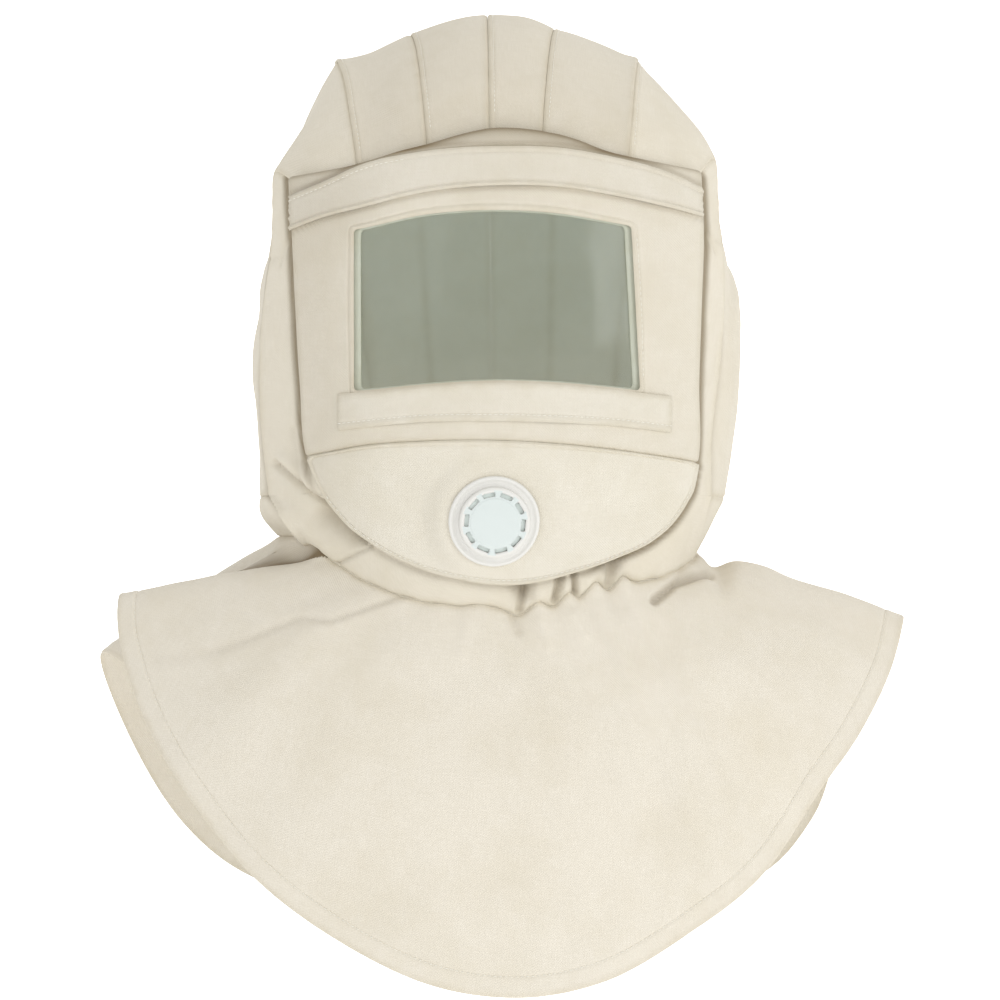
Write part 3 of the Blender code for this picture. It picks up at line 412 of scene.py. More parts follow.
# Painted shadow on the face panel's top, under the crown's overhang
ROLL_PAINTED_SHADE = 0.42
FLAP_SHADE, FLAP_SHADE_WIDTH = 0.26, 1.8
LEFT_SHADE = 0.12  # how much darker the face's cloth is at its left side
UP = np.array([0.0, 0.0, 1.0])

# Steps that the curves are read and searched with
NEAR_ALONG = 1e-3
NEAR_ROUND = 0.02
CHIN_HALVINGS = 40
CHIN_FURTHEST = 200.0

# How finely each piece is cut
OUTLINE_STEPS = 120
GORE_COLUMNS, GORE_ROWS = 36, 150
SIDE_COLUMNS, SIDE_ROWS, EAR_ROWS = 70, 124, 24
GUSSET_COLUMNS, GUSSET_ROWS = 34, 100
BAND_ROWS = 34
CAPE_COLUMNS = (
    # from this place round the neck on, columns a section
    (-12.5, 8),
    (-7.5, 14),
    (-5.6, 44),
    (-3.8, 22),
    (3.8, 34),
    (6.6, 16),
    (8.0, 8),
)
FRAME_COLUMNS, FRAME_ROWS = 110, 60
FACE_ROUNDS = 8
CHIN_SPOKES = 260
VALVE_STEPS = 96

# The valve's turned pieces as outlines of radius and height, the height measured out from the chin panel
VALVE_FLANGE = (
    (VALVE_BORE_R, 3.4),
    (24.5, 3.4),
    (25.5, 2.4),
    (27.0, 2.4),
    (28.6, 3.4),
    (30.0, 3.0),
    (VALVE_FLANGE_R, 1.8),
    (VALVE_FLANGE_R, 0.3),
    (VALVE_STUB_R, 0.3),
    (VALVE_STUB_R, -9.0),
    (VALVE_BORE_R, -9.0),
)
VALVE_NUT = (
    (17.3, -3.6),
    (22.0, -3.6),
    (22.0, -7.0),
    (17.3, -7.0),
)
VALVE_MEMBRANE = (
    (0.0, 5.0),
    (20.4, 5.0),
    (20.4, 6.0),
    (0.0, 6.0),
)
VALVE_CAP = (
    (0.0, 8.6),
    (16.0, 8.6),
    (16.6, 8.2),
    (22.2, 8.2),
    (23.5, 7.4),
    (23.8, 3.8),
    (21.6, 3.8),
    (21.4, 6.4),
    (0.0, 6.4),
)

GORE_AREAS = (0.031, 0.032, 0.029, 0.034)  # square metres

# Studio, in metres
CAMERA_PLACE = (0.002, -2.05, -0.34)
CAMERA_LENS, CAMERA_SENSOR = 102.857, 36.0
FLOOR_Z, FLOOR_HALF = -0.95, 8.0
SWEEP_Y, SWEEP_R, SWEEP_ROWS = 2.0, 1.5, 80
FLOOR_GLOW, FLOOR_SEEN = 0.35, 1.0  # how brightly the paper lights the hood, and how brightly it is seen
WORLD_STRENGTH = 0.66
AIM = (0.0, 0.0, -0.35)
LIGHTS = (
    # name, place, size, watts
    ("key", (1.9, -2.0, 0.3), 1.4, 18.0),
    ("fill", (-1.4, -2.2, 0.5), 1.6, 6.0),
    ("top", (0.1, -0.2, 1.7), 1.2, 4.0),
)
INSIDE_LIGHT = ((0.0, -0.02, -0.16), 0.05, 0.165)  # place, radius and watts of the lamp that shows the hollow
INSIDE_COLOUR = (0.5, 0.8, 1.0)


# Reading the tables


def smooth_step(value):
    value = np.clip(value, 0.0, 1.0)
    return value * value * (3.0 - 2.0 * value)


def unit(vectors):
    return vectors / np.maximum(np.linalg.norm(vectors, axis=-1, keepdims=True), 1e-9)


def hermite(keys, rows, slopes, at):
    """The smooth curve through rows at keys, with those slopes, read at the places in at."""
    at = np.clip(np.asarray(at, float), keys[0], keys[-1])
    i = np.clip(np.searchsorted(keys, at, side="right") - 1, 0, len(keys) - 2)
    step = keys[i + 1] - keys[i]
    t = (at - keys[i]) / step
    shape = t.shape + (1,) * (rows.ndim - 1)
    t, step = t.reshape(shape), step.reshape(shape)
    return (
        (1 + 2 * t) * (1 - t) ** 2 * rows[i]
        + t * (1 - t) ** 2 * step * slopes[i]
        + t * t * (3 - 2 * t) * rows[i + 1]
        + t * t * (t - 1) * step * slopes[i + 1]
    )


def curve_by(keys, rows):
    """A function that reads the smooth curve through rows at keys."""
    keys, rows = np.array(keys, float), np.array(rows, float)
    slopes = np.gradient(rows, keys, axis=0)
    return lambda at: hermite(keys, rows, slopes, at)


def loop_by(rows):
    """A function that reads the smooth closed curve through rows, by row number."""
    rows = np.array(rows, float)
    slopes = (np.roll(rows, -1, axis=0) - np.roll(rows, 1, axis=0)) / 2
    rows, slopes = np.vstack([rows, rows[:1]]), np.vstack([slopes, slopes[:1]])
    keys = np.arange(len(rows), dtype=float)
    return lambda at: hermite(keys, rows, slopes, np.asarray(at, float) % (len(rows) - 1))


def table_curve(table):
    """A curve read by a table's first column, giving its other columns."""
    ordered = sorted(table)
    return curve_by([row[0] for row in ordered], [row[1:] for row in ordered])


def profile_curve():
    points = np.array([row[1:] for row in CROWN_PROFILE])
    steps = np.linalg.norm(np.diff(points, axis=0), axis=1)
    return curve_by(np.concatenate([[0], np.cumsum(steps)]) / steps.sum(), points)


crown_profile = profile_curve()
crown_seams = table_curve(CROWN_SEAMS)
crown_arch = table_curve(CROWN_ARCH)
face_sections = table_curve(FACE_SECTIONS)
face_lines = table_curve(FACE_LINES)
chin_edge = table_curve(CHIN_EDGE)
ruffle_heights = table_curve(RUFFLES)
gusset_tables = {side: table_curve(rows) for side, rows in GUSSETS.items()}
side_swells = table_curve(SIDE_SWELL)
neck_sections = loop_by(NECK_SECTIONS)


# The hood's surfaces, in millimetres


def face_depth(x, z):
    """y of the face's outer surface, bowed round the head, with its edges rolled back."""
    across = np.abs(x) / FACE_HALF
    centre = face_sections(z)[..., 0]
    return centre + FACE_SAGITTA * across**2 + FACE_EDGE_ROLL * across**FACE_EDGE_POWER


def valve_axis():
    down, turn = math.radians(VALVE_DOWN_DEG), math.radians(VALVE_TURN_DEG)
    return np.array([math.sin(turn), -math.cos(turn) * math.cos(down), -math.sin(down)])


def valve_seat():
    """The point where the valve's axis meets the chin panel's outer surface."""
    return np.array([VALVE_X, float(face_depth(VALVE_X, VALVE_Z)), VALVE_Z])


def chin_depth(x, z):
    """y of the chin panel, flattened where the valve's flange sits."""
    seat, axis = valve_seat(), valve_axis()
    plane = seat[1] - (axis[0] * (x - seat[0]) + axis[2] * (z - seat[2])) / axis[1]
    away = np.hypot(x - seat[0], z - seat[2])
    flat = 1 - smooth_step((away - VALVE_SEAT_R) / SEAT_BLEND)
    return face_depth(x, z) * (1 - flat) + plane * flat


def from_core(points):
    """Unit vectors to points from the head's core."""
    core = np.zeros_like(points)
    core[..., 2] = np.clip(points[..., 2], HEAD_CORE_BOTTOM, HEAD_CORE_TOP)
    return unit(points - core)


def head_inward(points, normals, thickness):
    """From each outer point to its inner one: towards the head's core, and longer where the wall slants."""
    inward = -from_core(points)
    square = np.abs((inward * normals).sum(axis=-1, keepdims=True))
    return inward * thickness / np.maximum(square, STEEPEST)


def grid_normals(points, outside, ring=False):
    """A unit normal at each point of a grid, on the side that outside points to."""
    if ring:
        wrapped = np.concatenate([points[-2:-1], points, points[1:2]])
        along = (wrapped[2:] - wrapped[:-2]) / 2
    else:
        along = np.gradient(points, axis=0)
    normals = unit(np.cross(along, np.gradient(points, axis=1)))
    return normals * np.where((normals * outside).sum(axis=-1, keepdims=True) < 0, -1.0, 1.0)


def drawn_in(points, columns=True, rows=True):
    """The grid with its border drawn in by half a seam's gap."""
    drawn = points.copy()
    if columns:
        drawn[0] += unit(points[1] - points[0]) * SEAM_GAP / 2
        drawn[-1] += unit(points[-2] - points[-1]) * SEAM_GAP / 2
    if rows:
        drawn[:, 0] += unit(points[:, 1] - points[:, 0]) * SEAM_GAP / 2
        drawn[:, -1] += unit(points[:, -2] - points[:, -1]) * SEAM_GAP / 2
    return drawn


def sewn_between(across, down, left, right, top, bottom):
    """The surface stretched between four edges, each a function of the way along it."""
    s, t = across[..., None], down[..., None]
    corners = (
        (1 - s) * (1 - t) * left(np.zeros_like(down))
        + s * (1 - t) * right(np.zeros_like(down))
        + (1 - s) * t * left(np.ones_like(down))
        + s * t * right(np.ones_like(down))
    )
    return (1 - s) * left(down) + s * right(down) + (1 - t) * top(across) + t * bottom(across) - corners


def behind_face(x, z):
    """Points touching the back of the face and chin panels, but for a gap."""
    x, z = np.broadcast_arrays(x, z)
    return np.stack([x, chin_depth(x, z) + FACE_CLOTH + TUCK_GAP, z], axis=-1)


def brow_tuck(x):
    """Points behind the face panel, a little under its top edge."""
    return behind_face(x, face_lines(x)[..., PANEL_TOP] - BROW_TUCK)


def crown_plain(seam, local, along):
    """The crown before its ends are sewn down, seam being the number of the seam on the left of a gore."""
    lines = crown_seams(along)
    x = lines[..., seam] * (1 - local) + lines[..., seam + 1] * local
    centre = crown_profile(along)
    way = unit(crown_profile(along + NEAR_ALONG) - crown_profile(along - NEAR_ALONG))
    drop = crown_arch(x)[..., 0]
    puff = GORE_PUFF * (np.sin(math.pi * local) * np.sin(math.pi * along)) ** PUFF_POWER
    y = centre[..., 0] + way[..., 1] * (drop - puff)
    z = centre[..., 1] - way[..., 0] * (drop - puff)
    return np.stack([x, y, z], axis=-1)


def crown_points(seam, local, along):
    """The crown, with one end tucked behind the face and the other on the neck seam."""
    local, along = np.clip(local, 0, 1), np.clip(along, 0, 1)
    front = crown_plain(seam, local, np.zeros_like(along))
    back = crown_plain(seam, local, np.ones_like(along))
    neck = neck_sections(GORES_LEFT_KEY - seam - local)[..., :3]
    to_brow = (1 - smooth_step(along / BROW_BLEND))[..., None]
    to_neck = smooth_step((along - 1 + NECK_BLEND) / NECK_BLEND)[..., None]
    plain = crown_plain(seam, local, along)
    return plain + to_brow * (brow_tuck(front[..., 0]) - front) + to_neck * (neck - back)


def gusset_height(side, down):
    """Height down a gusset."""
    rows = GUSSETS[side]
    return rows[0][0] * (1 - down) + rows[-1][0] * down


def gusset_front(side, down):
    front_x = gusset_tables[side](gusset_height(side, down))[..., 0]
    top = face_lines(front_x)[..., PANEL_TOP] - BROW_TUCK
    z = top * (1 - down) + GUSSETS[side][-1][0] * down
    return behind_face(front_x, z)


def strip_outlines():
    """For each side, the curve from the top of a gusset's front edge out to the ear corner and down its rear."""
    curves = {}
    for side, rows in GUSSETS.items():
        rear = np.array([(x, y, z) for z, _, x, y in rows])
        steps = np.linalg.norm(np.diff(rear, axis=0), axis=1)
        way = np.concatenate([[0], np.cumsum(steps)]) / steps.sum()
        keys = np.concatenate([[0], EAR_WAY + (1 - EAR_WAY) * way])
        curves[side] = curve_by(keys, np.concatenate([gusset_front(side, np.zeros(1)), rear]))
    return curves


strip_outline = strip_outlines()


def brow_side(side, across):
    """The edge from the crown's side seam along the back of the face panel to the gusset."""
    zero = np.zeros(1)
    start = crown_points(*CROWN_SIDES[side], zero)[0, 0]
    turn = gusset_front(side, zero)[0, 0]
    return brow_tuck(start * (1 - across) + turn * across)


def neck_seam(first, last, across):
    return neck_sections(first * (1 - across) + last * across)[..., :3]


def gusset_points(side, across, down):
    first, last = GUSSET_KEYS[side]
    return sewn_between(
        across,
        down,
        lambda way: gusset_front(side, way),
        lambda way: strip_outline[side](EAR_WAY + (1 - EAR_WAY) * way),
        lambda way: strip_outline[side](EAR_WAY * way),
        lambda way: neck_seam(first, last, way),
    )


def side_points(side, across, down):
    points = sewn_between(
        across,
        down,
        lambda way: crown_points(*CROWN_SIDES[side], way),
        lambda way: strip_outline[side](way),
        lambda way: brow_side(side, way),
        lambda way: neck_seam(CROWN_KEYS[side], GUSSET_KEYS[side][1], way),
    )
    swell = side_swells(down)[..., 0 if side == "left" else 1]
    points[..., 0] += swell * np.sin(math.pi * across)
    return points


def ruffle(at):
    """The gathers' wave at places round the neck: strong in front on the right, faint elsewhere."""
    at = (at + SECTIONS / 2) % SECTIONS - SECTIONS / 2
    in_front = (at > RUFFLES[0][0]) & (at < RUFFLES[-1][0])
    strong = ruffle_heights(np.clip(at, RUFFLES[0][0], RUFFLES[-1][0]))[..., 0]
    return np.where(in_front, strong, 0.0) + RUFFLE_FAINT * np.sin(2 * math.pi * RUFFLE_COUNT / SECTIONS * at)


def outward(at):
    """Level unit vectors away from the neck, at places round it."""
    way = unit(neck_sections(at + NEAR_ROUND)[..., 3:5] - neck_sections(at - NEAR_ROUND)[..., 3:5])
    return np.stack([way[..., 1], -way[..., 0], np.zeros_like(way[..., 0])], axis=-1)


def gather_line(at):
    """The seam between the band and the cape, with its gathers."""
    wave = ruffle(at)[..., None]
    return neck_sections(at)[..., 3:6] + (outward(at) * RUFFLE_OUT + UP) * wave


def from_front(places):
    """How many sections each place round the neck is from the front, either way."""
    return np.abs((places + SECTIONS / 2) % SECTIONS - SECTIONS / 2)


def seam_inward(at, thickness):
    """From the gathered seam's outer line to its inner one, shared by the band and the cape."""
    return unit(np.array([0.0, 0.0, -1.0]) - outward(at)) * thickness * SEAM_SLANT


def neck_seam_line(at):
    """The seam between the head and the band, its front laid on the back of the chin panel."""
    seam = neck_sections(at)[..., :3]
    place = (at + SECTIONS / 2) % SECTIONS - SECTIONS / 2
    left, right = GUSSET_KEYS["left"][0] - SECTIONS, GUSSET_KEYS["right"][0]
    laid = (smooth_step((place - left) / LAID_RAMP) * smooth_step((right - place) / LAID_RAMP))[..., None]
    return behind_face(seam[..., 0], seam[..., 2]) * laid + seam * (1 - laid)


def band_points(places, down):
    top, bottom = neck_seam_line(places), gather_line(places)
    outer = top * (1 - down[..., None]) + bottom * down[..., None]
    bulge = BAND_BULGE * smooth_step((from_front(places) - BULGE_RAMP) / BULGE_RAMP)
    bulge = bulge + LEFT_BULGE * np.exp(-(((places % SECTIONS - LEFT_BULGE_PLACE) / LEFT_BULGE_WIDTH) ** 2))
    bulge = bulge * np.sin(math.pi * down)
    return outer + outward(places) * bulge[..., None]


def cape_fold(places):
    """The cape's long soft folds, out of its surface."""
    total = np.zeros_like(places)
    for at, width, height in CAPE_FOLDS:
        away = (places - at + SECTIONS / 2) % SECTIONS - SECTIONS / 2
        total += height * np.exp(-((away / width) ** 2))
    return total


def cape_points(places, down):
    """The cape from its gathered seam (down 0) to its hem (down 1)."""
    sections = neck_sections(places)
    top, calm, hem, swell = gather_line(places), sections[..., 3:6], sections[..., 6:9], sections[..., 9]
    side = unit(neck_sections(places + NEAR_ROUND)[..., 6:9] - neck_sections(places - NEAR_ROUND)[..., 6:9])
    out = unit(np.cross(side, unit(hem - calm)))
    out *= np.sign((out * (outward(places) + UP)).sum(axis=-1, keepdims=True))
    t = down[..., None]
    points = calm * (1 - t) + hem * t + (top - calm) * np.exp(-RUFFLE_FADE * t)
    at, width, hang, start = SHOULDER_FOLD
    points[..., 2] -= hang * np.exp(-(((places % SECTIONS - at) / width) ** 2)) * (1 - down) * (1 - np.exp(-down / start))
    rise = swell * np.sin(math.pi * down)
    fold = cape_fold(places) * smooth_step(down / FOLD_RAMP)
    return points + out * (rise + fold)[..., None]


def window_x(edge, z):
    """x of the window's left or right edge at a height."""
    depth = np.clip((WINDOW_TOP_Z - z) / (WINDOW_TOP_Z - WINDOW_BOTTOM_Z), 0, 1)
    return edge[0] * (1 - depth) + edge[1] * depth


def face_line(number, shift=0.0):
    return lambda x: face_lines(x)[..., number] + shift


def window_side(edge, shift=0.0):
    return lambda z: window_x(edge, z) + shift


def face_place(across, down, lines, sides):
    """x and z at places from 0 to 1 across and down, between two lines and two sides of the face."""
    z = np.full_like(across, WINDOW_TOP_Z)
    for _ in range(FACE_ROUNDS):
        left, right = (side(z) for side in sides)
        x = left * (1 - across) + right * across
        top, bottom = (line(x) for line in lines)
        z = top * (1 - down) + bottom * down
    return x, z


def on_face(x, z, front):
    """Points that stand front of the face's surface, towards the viewer."""
    return np.stack([x, chin_depth(x, z) - front, z], axis=-1)


def chin_reach(turn):
    """How far the chin panel's outline is from the valve's axis, each way round."""
    low, high = np.full_like(turn, VALVE_HOLE_R), np.full_like(turn, CHIN_FURTHEST)
    for _ in range(CHIN_HALVINGS):
        middle = (low + high) / 2
        x, z = VALVE_X + middle * np.sin(turn), VALVE_Z + middle * np.cos(turn)
        top = face_lines(x)[..., PANEL_BOTTOM] - SEAM_GAP
        inside = (z < top) & (z > chin_edge(x)[..., 0]) & (x > CHIN_EDGE[0][0]) & (x < CHIN_EDGE[-1][0])
        low, high = np.where(inside, middle, low), np.where(inside, high, middle)
    return low


# Fine cloth


def spread(count, gather=0.5):
    """Places from 0 to 1, closer together towards both ends."""
    even = np.linspace(0, 1, count + 1)
    return even * (1 - gather) + gather * (1 - np.cos(math.pi * even)) / 2


def stretches(stops, counts):
    """Places between stops, each stretch cut into its own number of cells."""
    cut = [np.linspace(a, b, n, endpoint=False) for a, b, n in zip(stops, stops[1:], counts)]
    return np.concatenate([*cut, [stops[-1]]])


def grid_of(across, down):
    return np.meshgrid(across, down, indexing="ij")


def arc_lengths(points, axis):
    """How far each point of a grid is along its column or row."""
    steps = np.linalg.norm(np.diff(points, axis=axis), axis=-1)
    start = np.zeros_like(np.take(steps, [0], axis=axis))
    return np.concatenate([start, np.cumsum(steps, axis=axis)], axis=axis)


def edge_ways(points):
    """The distance of each point of a grid from each of its four edges."""
    across, down = arc_lengths(points, 0), arc_lengths(points, 1)
    return {"left": across, "right": across[-1:] - across, "top": down, "bottom": down[:, -1:] - down}


def noise_field(points, size):
    """Smooth noise over an array of points, its lumps about size across."""
    flat = points.reshape(-1, 3) / size
    return np.array([noise.noise(Vector(point)) for point in flat]).reshape(points.shape[:-1])


def creased(points, table):
    """How far the folds of a table lift points, each a straight run seen from the front, and the painted shade in their
    valleys.
    """
    total, painted_shade = np.zeros(points.shape[:-1]), np.zeros(points.shape[:-1])
    for x, z, end_x, end_z, width, height in table:
        way = np.array([end_x - x, end_z - z])
        length = np.hypot(*way)
        way /= length
        from_start = points[..., ::2] - np.array([x, z])
        along = from_start @ way
        off = from_start @ np.array([-way[1], way[0]])
        ends = smooth_step((along + width) / (2 * width)) * smooth_step((length - along + width) / (2 * width))
        fold = height * ends * np.exp(-((off / width) ** 2))
        total += fold
        if width < PAINTED_SHADE_FOLD_WIDTH:
            painted_shade += CREASE_PAINTED_SHADE * np.clip(-fold, 0, None)
    return total, np.clip(painted_shade, 0, MOST_PAINTED_SHADE)


def face_outline():
    """Places along the sides of the face panel and the lower edge of the chin panel, as x and z."""
    heights = np.linspace(FACE_SECTIONS[1][0], CHIN_EDGE[0][1], OUTLINE_STEPS)
    sides = face_sections(heights)
    along = np.linspace(CHIN_EDGE[0][0], CHIN_EDGE[-1][0], 2 * OUTLINE_STEPS)
    chin = np.stack([along, chin_edge(along)[:, 0]], axis=1)
    return np.concatenate([np.stack([sides[:, 1], heights], axis=1), chin, np.stack([sides[:, 2], heights], axis=1)])


def beside_face(points, off=BESIDE_PLACE, width=BESIDE_WIDTH):
    """1 in the groove that runs round the face and chin panels, falling to 0 away from it."""
    flat = points.reshape(-1, 3)[:, ::2]
    nearest = np.full(len(flat), HIDDEN)
    for place in face_outline():
        nearest = np.minimum(nearest, np.hypot(*(flat - place).T))
    nearest = nearest.reshape(points.shape[:-1])
    strong = np.maximum(smooth_step((points[..., 0] - 30.0) / 60.0), smooth_step((points[..., 2] + 335.0) / 30.0))
    return (0.3 + 0.7 * strong) * np.exp(-(((nearest - off) / width) ** 2))


def groove_painted_shade(points):
    """The painted shade in that groove, close to the chin panel and further out beside the face."""
    off = PAINTED_SHADE_PLACE + PAINTED_SHADE_SPREAD * np.abs(points[..., 0])
    return BESIDE_PAINTED_SHADE * beside_face(points, off, PAINTED_SHADE_WIDTH)


def edge_relief(distance, row=0.0, groove=SEAM_GROOVE, reach=SEAM_REACH):
    """A seam's groove, and the lap and valley of a row of stitches beside it."""
    height = -groove * np.exp(-((distance / reach) ** 2))
    if row:
        height = height + LAP_RISE * smooth_step((row + 0.4 - distance) / 0.8)
        height = height - ROW_VALLEY * np.exp(-(((distance - row) / ROW_WIDTH) ** 2))
    return height


class Sewn:
    """A piece of cloth as grids: its outer and inner points, its normals, and how far it is to its edges."""

    def __init__(
        self,
        base,
        outside,
        rows,
        calm=(),
        inward=None,
        wrinkle=1.0,
        folds=None,
        ring=False,
        flat=False,
        painted_shade=0.0,
        shows=None,
        lips=None,
    ):
        """rows gives the distance of a row of stitches from each sewn edge, or 0; calm edges have no relief.

        shows says how strongly a seam shows along an edge, lips how high a rolled edge stands, and the painted shade
        how dark the cloth is painted, standing in for shadow.
        """
        sizes = bpy.context.scene.hood_sizes
        if folds is not None:
            base = base + grid_normals(base, outside, ring) * folds[..., None]
        self.normals = grid_normals(base, outside, ring)
        self.ways = edge_ways(base)
        shows = {edge: 1.0 for edge in rows} | (shows or {})
        self.seam = np.min([self.ways[edge] + HIDDEN * (1 - shows[edge]) for edge in rows], axis=0)
        self.painted_shade = np.broadcast_to(painted_shade, base.shape[:-1])
        settled = 0.25 + 0.75 * smooth_step(self.seam / WRINKLE_FADE)
        height = sum(rise * noise_field(base, size) for size, rise in WRINKLES) * settled * wrinkle
        height = height * sizes.wrinkle_height
        height = height + PUCKER * noise_field(base, PUCKER_SIZE) * np.exp(-self.seam / PUCKER_REACH)
        for edge, row in rows.items():
            if edge not in calm:
                height = height + edge_relief(self.ways[edge], row) * shows[edge]
        for edge, rise in (lips or {}).items():
            height = height + rise * np.exp(-(((self.ways[edge] - LIP_PLACE) / LIP_WIDTH) ** 2))
        self.outer = base + self.normals * height[..., None]
        self.inner = base + inward(base, self.normals)
        self.cut = (base[..., 0], -base[..., 2]) if flat else (self.ways["left"], self.ways["top"])
        self.ring = ring

    def line(self, edge, distance):
        """Points and normals along the line that runs at a distance from an edge."""
        axis = 0 if edge in ("left", "right") else 1
        points, normals, ways = (np.moveaxis(grid, axis, 0) for grid in (self.outer, self.normals, self.ways[edge]))
        if edge in ("right", "bottom"):
            points, normals, ways = points[::-1], normals[::-1], ways[::-1]
        place = np.array([np.interp(distance, ways[:, k], np.arange(len(ways))) for k in range(ways.shape[1])])
        first = np.minimum(place.astype(int), len(ways) - 2)
        part, which = (place - first)[:, None], np.arange(len(first))
        between = [grid[first, which] * (1 - part) + grid[first + 1, which] * part for grid in (points, normals)]
        return between[0], unit(between[1])


def toward_back(thickness):
    return lambda base, normals: np.broadcast_to(np.array([0.0, thickness, 0.0]), base.shape)


def toward_core(thickness):
    return lambda base, normals: head_inward(base, normals, thickness)


def through_wall(thickness):
    return lambda base, normals: -normals * thickness


def grid_place(point, columns, rows):
    """The column and row of a point on the flat slab, which spans -1 to 1."""
    return round((point.x + 1) / 2 * columns), round((point.y + 1) / 2 * rows)


def bend_slab(name, sewn, material):
    """A flat slab of cells bent so that its top lies on the outer points and its underside on the inner ones."""
    columns, rows = sewn.outer.shape[0] - 1, sewn.outer.shape[1] - 1
    across, down = (place * MM for place in sewn.cut)
    bm = bmesh.new()
    cloth = bm.loops.layers.uv.new("cloth")
    seam = bm.verts.layers.float.new("seam")
    # A vertex layer of painted shade, darkening the cloth where shadow falls in creases, grooves and under overhangs
    painted_shade = bm.verts.layers.float.new("painted_shade")
    bmesh.ops.create_grid(bm, x_segments=columns, y_segments=rows, size=1.0)
    grown = bmesh.ops.extrude_face_region(bm, geom=bm.faces[:], use_keep_orig=True)
    for vert in grown["geom"]:
        if isinstance(vert, bmesh.types.BMVert):
            vert.co.z = -1.0
    if sewn.ring:
        ends = [face for face in bm.faces if all(abs(abs(vert.co.x) - 1.0) < 1e-4 for vert in face.verts)]
        bmesh.ops.delete(bm, geom=ends, context="FACES")
    bm.verts.index_update()
    places = [grid_place(vert.co, columns, rows) for vert in bm.verts]
    for face in bm.faces:
        for loop in face.loops:
            place = places[loop.vert.index]
            loop[cloth].uv = (across[place], down[place])
    for vert, place in zip(bm.verts, places):
        vert[seam] = sewn.seam[place] * MM
        vert[painted_shade] = sewn.painted_shade[place]
        vert.co = Vector((sewn.outer if vert.co.z > -0.5 else sewn.inner)[place] * MM)
    bmesh.ops.remove_doubles(bm, verts=bm.verts[:], dist=1e-6)
    return finish_object(name, bm, material)


def finish_object(name, bm, *materials):
    bmesh.ops.recalc_face_normals(bm, faces=bm.faces[:])
    mesh = bpy.data.meshes.new(name)
    bm.to_mesh(mesh)
    bm.free()
    for material in materials:
        mesh.materials.append(material)
    mesh.shade_smooth()
    mesh.set_sharp_from_angle(angle=math.radians(SHARP_DEG))
    obj = bpy.data.objects.new(name, mesh)
    bpy.context.scene.collection.objects.link(obj)
    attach(obj, ROOT)
    return obj


def stitch_run(bm, line, normals, first=0.0, last=1.0):
    """A row of stitches along a line, from one share of its length to another."""
    sizes = bpy.context.scene.hood_sizes
    pitch, length, width = (size / MM for size in (sizes.stitch_pitch, sizes.stitch_length, sizes.thread_width))
    steps = np.linalg.norm(np.diff(line, axis=0), axis=1)
    way = np.concatenate([[0], np.cumsum(steps)])
    places = np.arange(way[-1] * first + pitch / 2, way[-1] * last, pitch)
    at, ahead = (np.stack([np.interp(places + step, way, line[:, k]) for k in range(3)], axis=1) for step in (0, 0.5))
    up = np.stack([np.interp(places, way, normals[:, k]) for k in range(3)], axis=1)
    along = unit(ahead - at)
    side = unit(np.cross(up, along))
    up = np.cross(along, side)
    frames = list(zip(at + up * STITCH_LIFT, along, side, up))
    for start in range(0, len(frames), STITCH_BATCH):
        batch = bmesh.new()
        for centre, x, y, z in frames[start : start + STITCH_BATCH]:
            turn = Matrix((x * length / 2, y * width / 2, z * width / 2)).transposed().to_4x4()
            turn.translation = Vector(centre)
            bmesh.ops.create_uvsphere(
                batch, u_segments=6, v_segments=4, radius=1.0, matrix=Matrix.Scale(MM, 4) @ turn
            )
        mesh = bpy.data.meshes.new("stitch batch")
        batch.to_mesh(mesh)
        batch.free()
        bm.from_mesh(mesh)
        bpy.data.meshes.remove(mesh)


def stitched_piece(name, runs, material):
    """Rows of stitches as one piece, each row a (line, normals) pair with the shares it runs from and to."""
    bm = bmesh.new()
    for (line, normals), *shares in runs:
        stitch_run(bm, line, normals, *shares)
    return finish_object(name, bm, material)


def replace_cloth(node):
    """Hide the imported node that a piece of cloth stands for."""
    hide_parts(node)


# Materials


def node(tree, kind, inputs=None, **settings):
    """A new node, its settings made and its inputs set or linked."""
    made = tree.nodes.new(kind)
    for key, value in settings.items():
        setattr(made, key, value)
    for key, value in (inputs or {}).items():
        if isinstance(value, bpy.types.NodeSocket):
            tree.links.new(value, made.inputs[key])
        else:
            made.inputs[key].default_value = value
    return made


def maths(tree, operation, *values):
    return node(tree, "ShaderNodeMath", dict(enumerate(values)), operation=operation).outputs[0]


def new_group(name, inputs, outputs):
    """An empty node group with its sockets, and its input and output nodes."""
    tree = bpy.data.node_groups.new(name, "ShaderNodeTree")
    for way, sockets in (("INPUT", inputs), ("OUTPUT", outputs)):
        for socket, kind in sockets:
            tree.interface.new_socket(socket, in_out=way, socket_type=f"NodeSocket{kind}")
    return tree, tree.nodes.new("NodeGroupInput").outputs, tree.nodes.new("NodeGroupOutput").inputs


